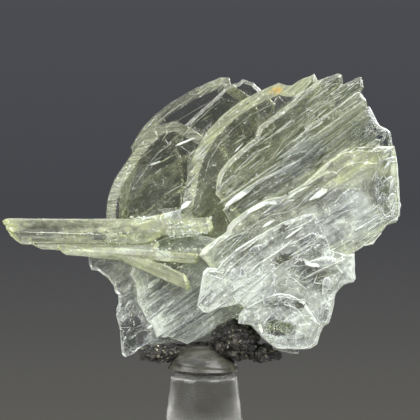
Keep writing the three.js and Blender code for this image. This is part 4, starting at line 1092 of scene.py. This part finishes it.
def barite_finish(name, looks, lath=False):
    """Barite, grown as glassy tablets: clear windows, cloudy growth zones, white healed cracks and a faint
    yellow-green body colour, with painted glints as short white dashes, and rims whose white is partly
    painted light."""
    material, tree = new_material(name)
    at = add(tree, "TexCoord", out="Object")
    place = add(tree, "VectorMath", {0: at, 1: (1 / MM, 1 / MM, 1 / MM)}, operation="MULTIPLY")
    growth = add(tree, "Attribute", out="Vector", attribute_name="growth")
    milk, rim, tone, crazed = (add(tree, "Attribute", out="Fac", attribute_name=what) for what in LOOKS)

    # Noises in millimetres. On growth they are drawn out along the growth lines.
    wave = {}
    for what, source, stretch, detail in (
        ("striae", growth, (0.14, 1.3, 0.6), 3.0), ("fine", growth, (0.35, 4.0, 1.0), 2.0),
        ("dash", growth, (0.5, 2.6, 1.3), 1.0), ("hair", growth, (0.1, 0.9, 0.5), 2.0),
        ("cloud", place, (0.15, 0.15, 0.15), 4.0), ("sugar", place, (2.6, 2.6, 2.6), 1.0),
        ("mottle", place, (0.7, 0.7, 0.7), 3.0), ("web", place, (0.33, 0.33, 0.33), 2.0),
        ("small web", place, (0.8, 0.8, 0.8), 1.0),
    ):
        scaled = add(tree, "VectorMath", {0: source, 1: stretch}, operation="MULTIPLY")
        wave[what] = add(tree, "TexNoise", {"Vector": scaled, "Scale": 1.0, "Detail": detail}, out="Fac")
    # Winding lines lie where a noise crosses its middle value.
    for what in ("hair", "web", "small web"):
        off = add(tree, "Math", {0: wave[what], 1: 0.5}, operation="SUBTRACT")
        wave[what] = add(tree, "Math", {0: off}, operation="ABSOLUTE")

    # What each noise gives: its source, the range read from it and the range it becomes.
    swing = 0.2 if lath else 0.4
    share = {}
    for what, source, low, high, start, end in (
        ("clouds", "cloud", 0.3, 0.7, 1 - swing, 1 + swing), ("bands", "striae", 0.3, 0.7, 0.75, 1.25),
        ("mottles", "mottle", 0.35, 0.65, 0.8, 1.2), ("edge", "fine", 0.3, 0.7, 0.5, 1.4),
        ("hairs", "hair", 0.03, 0.006, 0.0, 1.0), ("webs", "web", 0.016, 0.003, 0.0, 1.0),
        ("small webs", "small web", 0.022, 0.004, 0.0, 1.0), ("hair zones", "cloud", 0.35, 0.62, 0.1, 1.0),
        ("dashes", "dash", 0.62, 0.74, 0.0, 1.0), ("dash zones", "cloud", 0.4, 0.62, 0.25, 0.9),
        ("grains", "sugar", 0.6, 0.72, 0.0, 1.0), ("grain zones", "mottle", 0.42, 0.6, 0.15, 1.0),
        ("web zones", "cloud", 0.42, 0.6, 0.0, 1.0),
    ):
        share[what] = add(
            tree, "MapRange",
            {"Value": wave[source], "From Min": low, "From Max": high, "To Min": start, "To Max": end},
            interpolation_type="SMOOTHSTEP",
        )

    # The zones, each with a soft and uneven outline.
    for centre, half, angle, more_milk, more_tone in LATH_ZONES if lath else ZONES:
        away = add(tree, "VectorMath", {0: place, 1: (centre[0], 0, centre[1])}, operation="SUBTRACT")
        away = add(tree, "VectorRotate", {"Vector": away, "Angle": math.radians(angle), "Axis": (0, 1, 0)},
                   rotation_type="AXIS_ANGLE")
        away = add(tree, "VectorMath", {0: away, 1: (1 / half[0], 0, 1 / half[1])}, operation="MULTIPLY")
        away = add(tree, "VectorMath", {0: away}, out="Value", operation="LENGTH")
        away = add(tree, "Math", {0: wave["mottle"], 1: 1.6, 2: away}, operation="MULTIPLY_ADD")
        within = add(tree, "MapRange", {"Value": away, "From Min": 2.1, "From Max": 1.5},
                     interpolation_type="SMOOTHSTEP")
        milk = add(tree, "Math", {0: within, 1: more_milk, 2: milk}, operation="MULTIPLY_ADD")
        if more_tone:
            tone = add(tree, "Math", {0: within, 1: more_tone, 2: tone}, operation="MULTIPLY_ADD")

    for what in ("clouds", "bands", "mottles"):
        milk = add(tree, "Math", {0: milk, 1: share[what]}, operation="MULTIPLY")
    # The rims add their white: partly frosted glass, partly painted light for the light that the crystal
    # guides out at its edges.
    haze = add(tree, "Math", {0: rim, 1: share["edge"], 2: milk}, operation="MULTIPLY_ADD")
    small = add(tree, "Math", {0: share["small webs"], 1: share["web zones"]}, operation="MULTIPLY")
    cracked = add(tree, "Math", {0: share["webs"], 1: small}, operation="MAXIMUM")
    cracked = add(tree, "Math", {0: cracked, 1: crazed}, operation="MULTIPLY")
    haze = add(tree, "Math", {0: cracked, 1: 0.4, 2: haze}, operation="MULTIPLY_ADD")
    graininess = 0.08 if lath else 0.3
    # The dashes are painted glints: short streaks along the growth lines turned cloudy white, standing in
    # for the light that they catch.
    for what, zones, strength in (
        ("hairs", "hair zones", 0.1), ("dashes", "dash zones", 0.16),
        ("grains", "grain zones", graininess),
    ):
        within = add(tree, "Math", {0: share[what], 1: share[zones]}, operation="MULTIPLY")
        haze = add(tree, "Math", {0: within, 1: strength, 2: haze}, operation="MULTIPLY_ADD")

    # The iron stain on the great sheet's rim, an uneven patch of about 3 by 2 mm.
    away = add(tree, "VectorMath", {0: place, 1: (13.0, 3.6, 71.4)}, operation="SUBTRACT")
    away = add(tree, "VectorMath", {0: away, 1: (0.66, 0.35, 0.95)}, operation="MULTIPLY")
    away = add(tree, "VectorMath", {0: away}, out="Value", operation="LENGTH")
    away = add(tree, "Math", {0: wave["sugar"], 1: 2.2, 2: away}, operation="MULTIPLY_ADD")
    stained = add(tree, "MapRange", {"Value": away, "From Min": 2.1, "From Max": 1.2},
                  interpolation_type="SMOOTHSTEP")
    burnt = add(tree, "MapRange", {"Value": wave["sugar"], "From Min": 0.44, "From Max": 0.58})
    rust = add(tree, "Mix", {0: burnt, 6: linear(looks.stain), 7: linear("#8F6A2E")}, out=2,
               data_type="RGBA")
    haze = add(tree, "Math", {0: stained, 1: 0.35, 2: haze}, operation="MULTIPLY_ADD")
    haze = add(tree, "Clamp", {"Value": haze, "Max": 0.95})

    tone = add(tree, "Clamp", {"Value": tone})
    glass = add(tree, "Mix", {0: tone, 6: linear("#FDFEFD"), 7: linear("#F7F9EA")}, out=2,
                data_type="RGBA")
    cloudy = add(tree, "Mix", {0: tone, 6: linear(looks.milk_cool), 7: linear(looks.milk_warm)}, out=2,
                 data_type="RGBA")
    cloudy_share = add(tree, "MapRange", {"Value": haze, "From Min": 0.0, "From Max": 0.6})
    colour = add(tree, "Mix", {0: cloudy_share, 6: glass, 7: cloudy}, out=2, data_type="RGBA")
    for what in (cracked, share["grains"]):
        colour = add(tree, "Mix", {0: what, 6: colour, 7: linear("#F4F8F2")}, out=2, data_type="RGBA")
    colour = add(tree, "Mix", {0: stained, 6: colour, 7: rust}, out=2, data_type="RGBA")

    height = wave["striae"]
    for what, strength in (("fine", 0.35), ("sugar", 0.2)):
        height = add(tree, "Math", {0: wave[what], 1: strength, 2: height}, operation="MULTIPLY_ADD")
    bump = add(tree, "Bump", {"Strength": 0.5, "Distance": 0.12 * MM, "Height": height})
    rough = add(tree, "MapRange",
                {"Value": haze, "From Min": 0.05, "From Max": 0.8, "To Min": 0.03, "To Max": 0.35})
    through = add(tree, "MapRange", {"Value": haze, "From Max": 0.95, "To Min": 1.0, "To Max": 0.08},
                  interpolation_type="SMOOTHSTEP")
    shader = add(tree, "BsdfPrincipled", {
        "Base Color": colour, "Normal": bump, "IOR": 1.64, "Roughness": rough,
        "Transmission Weight": through, "Subsurface Weight": 0.4, "Subsurface Radius": (1.0, 1.0, 0.85),
        "Subsurface Scale": MM,
    })
    depth = add(tree, "VolumeAbsorption", {"Color": linear(looks.body), "Density": looks.body_density})
    add(tree, "OutputMaterial", {"Surface": shader, "Volume": depth})
    return material


def speck_finish():
    """Iron oxide, grown as grains in the crystals: dull dark brown."""
    material, tree = new_material("Iron oxide grains")
    at = add(tree, "TexCoord", out="Object")
    rust = add(tree, "TexNoise", {"Vector": at, "Scale": 1 / (0.4 * MM)}, out="Fac")
    colour = add(tree, "Mix", {0: rust, 6: linear("#1E1A12"), 7: linear("#4A3A20")}, out=2,
                 data_type="RGBA")
    shader = add(tree, "BsdfPrincipled", {"Base Color": colour, "Roughness": 0.6})
    add(tree, "OutputMaterial", {"Surface": shader})
    return material


def rock_finish(looks):
    """Sulphide-stained gangue, broken: dull, nearly black, with brown and grey grains."""
    material, tree = new_material("Dark gangue rock, broken")
    at = add(tree, "TexCoord", out="Object")
    grain = add(tree, "TexVoronoi", {"Vector": at, "Scale": 1 / (0.5 * MM)})
    patch = add(tree, "TexNoise", {"Vector": at, "Scale": 1 / (2.2 * MM), "Detail": 4.0})
    tint = add(tree, "ValToRGB", {"Fac": patch})
    ramp = tint.node.color_ramp
    ramp.elements[0].position, ramp.elements[0].color = 0.36, linear(looks.rock_dark)
    ramp.elements[1].position, ramp.elements[1].color = 0.68, linear(looks.rock_pale)
    middle = ramp.elements.new(0.52)
    middle.color = linear("#1C1A13")
    each_grain = grain.node.outputs["Color"]
    spot = add(tree, "MapRange", {"Value": each_grain, "From Min": 0.8, "From Max": 0.95})
    colour = add(tree, "Mix", {0: spot, 6: tint, 7: linear("#8D8874")}, out=2, data_type="RGBA")
    bump = add(tree, "Bump", {"Strength": 0.8, "Distance": 0.2 * MM, "Height": grain})
    rough = add(tree, "MapRange", {"Value": each_grain, "To Min": 0.35, "To Max": 0.9})
    shader = add(tree, "BsdfPrincipled",
                 {"Base Color": colour, "Roughness": rough, "Normal": bump, "IOR": 1.6})
    add(tree, "OutputMaterial", {"Surface": shader})
    return material


def pyrite_finish():
    """Pyrite, grown as cubes: brassy metal dulled by a brown tarnish."""
    material, tree = new_material("Pyrite, tarnished")
    at = add(tree, "TexCoord", out="Object")
    tarnish = add(tree, "TexNoise", {"Vector": at, "Scale": 1 / (0.9 * MM), "Detail": 3.0})
    share = add(tree, "MapRange", {"Value": tarnish, "From Min": 0.4, "From Max": 0.65})
    colour = add(tree, "Mix", {0: share, 6: linear("#A8A38F"), 7: linear("#3A352A")}, out=2,
                 data_type="RGBA")
    rough = add(tree, "MapRange",
                {"Value": tarnish, "From Min": 0.4, "From Max": 0.65, "To Min": 0.22, "To Max": 0.5})
    shader = add(tree, "BsdfPrincipled", {"Base Color": colour, "Metallic": 0.85, "Roughness": rough})
    add(tree, "OutputMaterial", {"Surface": shader})
    return material


def putty_finish(looks):
    """Museum putty, pressed by hand: grey, satin, with faint finger smears."""
    material, tree = new_material("Grey putty, pressed")
    at = add(tree, "TexCoord", out="Object")
    # Smears about 3 mm long and 1 mm apart.
    smear = add(tree, "Mapping", {
        "Vector": at, "Rotation": (0, math.radians(25), 0), "Scale": (0.3 / MM, 0.7 / MM, 1.1 / MM),
    })
    drag = add(tree, "TexNoise", {"Vector": smear, "Scale": 1.0, "Detail": 3.0})
    dust = add(tree, "TexNoise", {"Vector": at, "Scale": 1 / (0.35 * MM), "Detail": 1.0})
    share = add(tree, "MapRange", {"Value": drag, "From Min": 0.35, "From Max": 0.65})
    colour = add(tree, "Mix", {0: share, 6: linear(looks.putty), 7: linear("#55544A")}, out=2,
                 data_type="RGBA")
    height = add(tree, "Math", {0: drag, 1: 3.0, 2: dust}, operation="MULTIPLY_ADD")
    bump = add(tree, "Bump", {"Strength": 0.35, "Distance": 0.1 * MM, "Height": height})
    rough = add(tree, "MapRange",
                {"Value": drag, "From Min": 0.3, "From Max": 0.7, "To Min": 0.18, "To Max": 0.34})
    shader = add(tree, "BsdfPrincipled",
                 {"Base Color": colour, "Roughness": rough, "Normal": bump, "IOR": 1.45})
    add(tree, "OutputMaterial", {"Surface": shader})
    return material


def acrylic_finish(looks):
    """Clear acrylic, turned and polished: see-through, with faint turning rings and a few scuffs."""
    material, tree = new_material("Clear acrylic, turned")
    at = add(tree, "TexCoord", out="Object")
    # The tool's rings are finer than the render shows, so they are drawn 0.4 mm apart.
    rings = add(tree, "Mapping", {"Vector": at, "Scale": (0.06 / MM, 0.06 / MM, 2.6 / MM)})
    lines = add(tree, "TexNoise", {"Vector": rings, "Scale": 1.0, "Detail": 2.0})
    scuff = add(tree, "TexNoise", {"Vector": at, "Scale": 1 / (3 * MM), "Detail": 5.0, "Roughness": 0.7})
    worn_share = add(tree, "MapRange",
                     {"Value": scuff, "From Min": 0.3, "From Max": 0.75, "To Min": 0.1, "To Max": 0.28})
    bump = add(tree, "Bump", {"Strength": 0.2, "Distance": 0.05 * MM, "Height": lines})
    clear = add(tree, "MapRange",
                {"Value": scuff, "From Min": 0.3, "From Max": 0.8, "To Min": 0.99, "To Max": 0.95})
    shader = add(tree, "BsdfPrincipled", {
        "Base Color": linear(looks.acrylic), "Roughness": worn_share, "Normal": bump,
        "IOR": 1.49, "Transmission Weight": clear,
    })
    add(tree, "OutputMaterial", {"Surface": shader})
    return material


# The user's settings, and an operator for each piece.


class SpecimenLooks(bpy.types.PropertyGroup):
    """Colours of the specimen's finishes."""

    milk_cool: StringProperty(
        name="Cool milk", description="sRGB colour of cloudy barite low on the fan", default="#DEE5D8")
    milk_warm: StringProperty(
        name="Warm milk", description="sRGB colour of cloudy barite at the rims and laths",
        default="#C3C994")
    body: StringProperty(
        name="Body", description="sRGB colour that light takes on deep in the crystals", default="#F4F7D8")
    body_density: FloatProperty(
        name="Body density", description="How fast light takes on the body colour, per metre",
        default=52.0, min=0)
    stain: StringProperty(name="Stain", description="sRGB colour of the iron stain", default="#CBA650")
    rock_dark: StringProperty(name="Dark rock", description="sRGB colour of the rock", default="#0C0B08")
    rock_pale: StringProperty(
        name="Pale rock", description="sRGB colour of its pale parts", default="#403C2F")
    putty: StringProperty(name="Putty", description="sRGB colour of the putty", default="#34332C")
    acrylic: StringProperty(name="Acrylic", description="sRGB colour of the stand", default="#C4C4BE")


class SpecimenShape(bpy.types.PropertyGroup):
    """Sizes of what grows on the crystals and of the view."""

    ridge: FloatProperty(
        name="Ridge height", description="Height of the growth ridges, in millimetres", default=0.07,
        min=0, max=0.3)
    grains: IntProperty(
        name="Grains", description="Number of loose grains on the rock", default=1100, min=0, max=3000)
    camera_distance: FloatProperty(
        name="Camera distance", description="From the camera to the fan", default=0.42, unit="LENGTH")
    camera_lens: FloatProperty(
        name="Lens", description="Focal length in millimetres", default=200.0, min=20)
    aim: FloatVectorProperty(
        name="Aim", description="Where the camera looks", default=(0.00108, 0, 0.05006),
        subtype="TRANSLATION")
    camera_tilt: FloatProperty(
        name="Camera tilt", description="How far the camera looks down", default=math.radians(4),
        subtype="ANGLE")


class BARITE_OT_crystals(bpy.types.Operator):
    """Grow the fan of tabular crystals and its laths"""

    bl_idname = "barite.crystals"
    bl_label = "Grow the crystals"

    def execute(self, context):
        looks, shape = context.scene.specimen_looks, context.scene.specimen_shape
        rng = random.Random(7)
        tablets = []
        for index, spec in enumerate(PLATES):
            steps = () if spec["thickness"] < 1 else ((rng.uniform(0.6, 2.6), 0.1),)
            tablets.append(grow_tablet(spec, index, rng, ridge=shape.ridge, wear=0.07, terraces=steps))
        fan = grown_together(tablets)
        for index, spec in enumerate(rib_specs(rng)):
            pour(grow_tablet(spec, 100 + index, rng, ridge=0.02, wear=0.03), fan)
        for index, spec in enumerate(flake_specs(rng)):
            pour(grow_tablet(spec, 200 + index, rng, ridge=0, wear=0.05), fan)
        for thread in (*thread_paths(rng), *edge_paths()):
            grow_thread(fan, *thread)
        # Painted glints: white facets and dashes that lean back from the sheets under them.
        for outline in FACETS:
            x, z = (sum(p[k] for p in outline) / len(outline) for k in (0, 1))
            y, under = sheet_at(x, z, -1)
            lean, turn = under["lean"] + FACET_LEAN, under["turn"]
            spec = dict(outline=outline, depth=y - 0.3 - lift(x, z, lean, turn), thickness=0.4, bevel=0.1,
                        lean=lean, turn=turn, grain=38, **PAINTED_GLINT_LOOK)
            pour(grow_tablet(spec, 90, rng, ridge=0, wear=0.03), fan)
        for start, end, width in DASHES:
            y = min(sheet_at(*p, -1)[0] for p in (start, end)) - 0.1
            spec = wedge_spec(start, end, y, FACET_LEAN, width, height=0.4, **PAINTED_GLINT_LOOK)
            pour(grow_tablet(spec, 90, rng, ridge=0, wear=0.02), fan)
        pour(grown_together([grow_lath(spec, index, rng) for index, spec in enumerate(LATHS)]), fan, 1)
        specks, sugar = bmesh.new(), bmesh.new()
        for x, z, size in SPECKS:
            crumb(specks, (x, sheet_at(x, z, -1)[0], z), size, rng, "grain")
        layers = look_layers(sugar)
        for (x, z), (wide, high), y, count in SUGAR:
            for _ in range(count):
                at = [c + rng.uniform(-reach, reach) for c, reach in ((x, wide), (y, 0.2), (z, high))]
                for face in crumb(sugar, at, rng.uniform(0.1, 0.32), rng):
                    paint(face, layers, (rng.uniform(0.6, 1), 0, rng.uniform(0.2, 0.8), 0))
        pour(specks, fan, 2)
        pour(sugar, fan, 1)
        glassy = barite_finish("Barite, glassy and milky", looks)
        sugary = barite_finish("Barite laths, satin", looks, lath=True)
        piece = as_object("crystals", fan, [glassy, sugary, speck_finish()])
        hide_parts("barite_crystals")
        return {"FINISHED"}


class BARITE_OT_rock(bpy.types.Operator):
    """Build the crust of dark rock with its grains and pyrite cubes"""

    bl_idname = "barite.rock"
    bl_label = "Build the rock"

    def execute(self, context):
        looks, shape = context.scene.specimen_looks, context.scene.specimen_shape
        rng = random.Random(21)
        bm = bmesh.new()
        for lump in LUMPS:
            centre, half = Vector(lump["centre"]), Vector(lump["half"])
            ball = bmesh.ops.create_icosphere(bm, subdivisions=lump["detail"], radius=1)
            for v in ball["verts"]:
                p = Vector(v.co[i] * half[i] for i in range(3))
                coarse = noise.fractal(p * 0.7 + centre, 0.55, 2.2, 6)
                v.co = centre + p * (0.92 + lump["rough"] * 0.8 * coarse)
        skin = bm.faces[:]
        spots = rng.choices(skin, weights=[face.calc_area() for face in skin], k=shape.grains)
        for place, facing in [(face.calc_center_median(), face.normal.copy()) for face in spots]:
            pyrite = rng.random() < 0.3
            sizes = (0.15, 0.25, 0.4) if pyrite else (0.3, 0.5, 0.9, 1.3)
            size = rng.choice(sizes) * rng.uniform(0.8, 1.2)
            for face in crumb(bm, place - facing * size * 0.2, size, rng, "cube" if pyrite else "grain"):
                face.material_index = 1 if pyrite else 0
        piece = as_object("rock", bm, [rock_finish(looks), pyrite_finish()])
        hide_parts("matrix_rock")
        return {"FINISHED"}


class BARITE_OT_putty(bpy.types.Operator):
    """Press the lump of putty on the stand's top"""

    bl_idname = "barite.putty"
    bl_label = "Press the putty"

    def execute(self, context):
        bm = bmesh.new()
        bmesh.ops.create_uvsphere(bm, u_segments=96, v_segments=64, radius=1)
        equator, crown, sole, fold_height = 21.3, 4.2, 0.95, 22.1
        for v in bm.verts:
            x, y, z = v.co
            out = min(1.0, math.hypot(x, y))
            if z > 0:
                dent = 1 + 0.16 * noise.noise(Vector((x * 2.4, y * 2.4, z * 1.5)) + Vector((3, 1, 7)))
                height = equator + crown * (1 - out**2.4) * min(1.0, dent)
            else:
                height = equator - sole * (1 - out**5)
            # A fold runs around the front at about a quarter of the height, lower on the right.
            fold = math.tanh((height - fold_height + 0.345 * x) / 0.22)
            pinch = 0.965 + 0.03 * fold
            v.co = (-0.2 + 6.85 * x * pinch, -0.45 + 5.5 * y * pinch, height - 0.207 * x)
        bmesh.ops.dissolve_degenerate(bm, dist=1e-5, edges=bm.edges)
        piece = as_object("putty_lump", bm, [putty_finish(context.scene.specimen_looks)], smooth=True)
        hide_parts("putty")
        return {"FINISHED"}


class BARITE_OT_stand(bpy.types.Operator):
    """Turn the clear stand"""

    bl_idname = "barite.stand"
    bl_label = "Turn the stand"

    def execute(self, context):
        neck = STAND_TOP_RADIUS + STAND_TAPER * (STAND_HEIGHT - FOOT_THICKNESS)
        foot, top = FOOT_RADIUS, FOOT_THICKNESS
        # Radius and height: the foot's rim and top, the hollow up to the peg, its wall and rounded top.
        # The close pairs keep the wall's shading flat beside the rounded edges.
        profile = [
            (foot - 0.5, 0), (foot - 0.15, 0.15), (foot, 0.5), (foot, top - 0.8),
            (foot - 0.23, top - 0.23), (foot - 0.8, top), (neck + 1.6, top), (neck + 0.9, top + 0.15),
            (neck + 0.4, top + 0.5), (neck + 0.1, top + 1.0), (neck, top + 1.6), (neck - 0.05, top + 2.1),
            (STAND_TOP_RADIUS + 0.04, STAND_HEIGHT - 0.7), (STAND_TOP_RADIUS, STAND_HEIGHT - 0.3),
            (STAND_TOP_RADIUS - 0.09, STAND_HEIGHT - 0.09), (STAND_TOP_RADIUS - 0.3, STAND_HEIGHT),
        ]
        bm = bmesh.new()
        turns = 128
        rings = [
            [bm.verts.new((r * math.cos(math.tau * i / turns), r * math.sin(math.tau * i / turns), z))
             for i in range(turns)]
            for r, z in profile
        ]
        for low, high in zip(rings, rings[1:]):
            for i in range(turns):
                j = (i + 1) % turns
                bm.faces.new((low[i], low[j], high[j], high[i]))
        bm.faces.new(rings[0][::-1])
        bm.faces.new(rings[-1])
        bm.normal_update()
        for face in bm.faces:
            face.smooth = True
        for edge in bm.edges:
            edge.smooth = edge.calc_face_angle() < math.radians(30)
        piece = as_object("clear_stand", bm, [acrylic_finish(context.scene.specimen_looks)])
        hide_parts("stand")
        return {"FINISHED"}


def soft_light(name, place, size, power):
    """A square white light that faces the specimen's middle."""
    lamp = bpy.data.lights.new(name, "AREA")
    lamp.size, lamp.energy = size, power
    made = bpy.data.objects.new(name, lamp)
    made.location = place
    made.rotation_mode = "QUATERNION"
    made.rotation_quaternion = (Vector(place) - SPECIMEN_MIDDLE).to_track_quat("Z", "Y")
    made.visible_camera = False
    bpy.context.scene.collection.objects.link(made)


class BARITE_OT_stage(bpy.types.Operator):
    """Set the floor, the lights, the backdrop and the camera"""

    bl_idname = "barite.stage"
    bl_label = "Set the stage"

    def execute(self, context):
        scene, shape = context.scene, context.scene.specimen_shape
        bm = bmesh.new()
        bmesh.ops.create_circle(bm, cap_ends=True, segments=96, radius=120 * MM)
        floor = bpy.data.objects.new("floor", to_mesh("floor", bm))
        # It lies a hair below the foot, so that the two faces don't fight.
        floor.location = (0, -24 * MM, -0.2 * MM)
        scene.collection.objects.link(floor)
        floor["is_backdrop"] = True
        # Pale matt card. It fades out before its edge, so that grey paper shows behind the specimen: the
        # soft pale spot is partly the card and partly a painted pool of light.
        material, tree = new_material("Pale card, matt, painted light pool")
        at = add(tree, "TexCoord", out="Object")
        away = add(tree, "VectorMath", {0: at}, operation="LENGTH", out="Value")
        # The painted pool of light: the card shows fully within 50 mm and fades out by 78 mm.
        shown = add(tree, "MapRange",
                    {"Value": away, "From Min": 50 * MM, "From Max": 78 * MM, "To Min": 1, "To Max": 0},
                    interpolation_type="SMOOTHSTEP")
        card = add(tree, "BsdfDiffuse", {"Color": linear("#B4B2AD")})
        through = add(tree, "BsdfTransparent")
        blend = add(tree, "MixShader", {0: shown, 1: through, 2: card})
        add(tree, "OutputMaterial", {"Surface": blend})
        floor.data.materials.append(material)

        world = bpy.data.worlds.new("Grey paper")
        world.use_nodes = True
        tree = world.node_tree
        tree.nodes.clear()
        look = add(tree, "TexCoord", out="Generated")
        rise = add(tree, "SeparateXYZ", {0: look}, out="Z")
        share = add(tree, "MapRange", {"Value": rise, "From Min": -0.16, "From Max": 0.02})
        above = add(tree, "MapRange",
                    {"Value": rise, "From Min": 0.3, "From Max": 0.95, "To Min": 1.0, "To Max": 22.0},
                    interpolation_type="SMOOTHSTEP")
        ramp = add(tree, "ValToRGB", {"Fac": share})
        stops = ramp.node.color_ramp
        stops.elements[0].color = linear("#5E5D59")
        stops.elements[1].color = linear("#4C4D52")
        stops.elements.new(0.5).color = linear("#46474B")
        back = add(tree, "Background", {"Color": ramp, "Strength": above})
        add(tree, "OutputWorld", {"Surface": back})
        scene.world = world

        soft_light("Key", (0.38, -0.42, 0.46), 0.5, 5.6)
        soft_light("Fill", (-0.50, -0.40, 0.34), 0.5, 4.0)
        soft_light("Rim", (0.42, 0.44, 0.36), 0.4, 3.2)

        view = bpy.data.cameras.new("Camera")
        view.lens, view.sensor_width = shape.camera_lens, 36
        view.clip_start, view.clip_end = 0.01, 20
        camera = bpy.data.objects.new("Camera", view)
        away = Vector((0, -math.cos(shape.camera_tilt), math.sin(shape.camera_tilt)))
        camera.rotation_mode = "QUATERNION"
        camera.location = Vector(shape.aim) + away * shape.camera_distance
        camera.rotation_quaternion = away.to_track_quat("Z", "Y")
        scene.collection.objects.link(camera)
        scene.camera = camera

        cycles = scene.cycles
        cycles.max_bounces, cycles.transmission_bounces, cycles.transparent_max_bounces = 40, 40, 16
        cycles.glossy_bounces, cycles.diffuse_bounces = 6, 4
        cycles.use_denoising = True
        cycles.caustics_reflective = cycles.caustics_refractive = True
        scene.view_settings.view_transform = "Standard"
        return {"FINISHED"}


class BARITE_PT_panel(bpy.types.Panel):
    """The specimen's settings and steps"""

    bl_label = "Barite specimen"
    bl_space_type = "VIEW_3D"
    bl_region_type = "UI"
    bl_category = "Barite"

    def draw(self, context):
        for group in (context.scene.specimen_looks, context.scene.specimen_shape):
            box = self.layout.box()
            for name in group.__annotations__:
                box.prop(group, name)
        for operator in OPERATORS:
            self.layout.operator(operator.bl_idname)


OPERATORS = (BARITE_OT_crystals, BARITE_OT_rock, BARITE_OT_putty, BARITE_OT_stand, BARITE_OT_stage)
CLASSES = (SpecimenLooks, SpecimenShape, *OPERATORS, BARITE_PT_panel)


def register():
    for each in CLASSES:
        bpy.utils.register_class(each)
    bpy.types.Scene.specimen_looks = PointerProperty(type=SpecimenLooks)
    bpy.types.Scene.specimen_shape = PointerProperty(type=SpecimenShape)


def unregister():
    del bpy.types.Scene.specimen_shape
    del bpy.types.Scene.specimen_looks
    for each in reversed(CLASSES):
        bpy.utils.unregister_class(each)


def main():
    register()
    for step in (bpy.ops.barite.crystals, bpy.ops.barite.rock, bpy.ops.barite.putty, bpy.ops.barite.stand,
                 bpy.ops.barite.stage):
        step()
    boxes = {"cad": CAD_BOX, "visual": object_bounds()}
    {name: [list(corner) for corner in box] for name, box in boxes.items()}


if __name__ == "__main__":
    main()
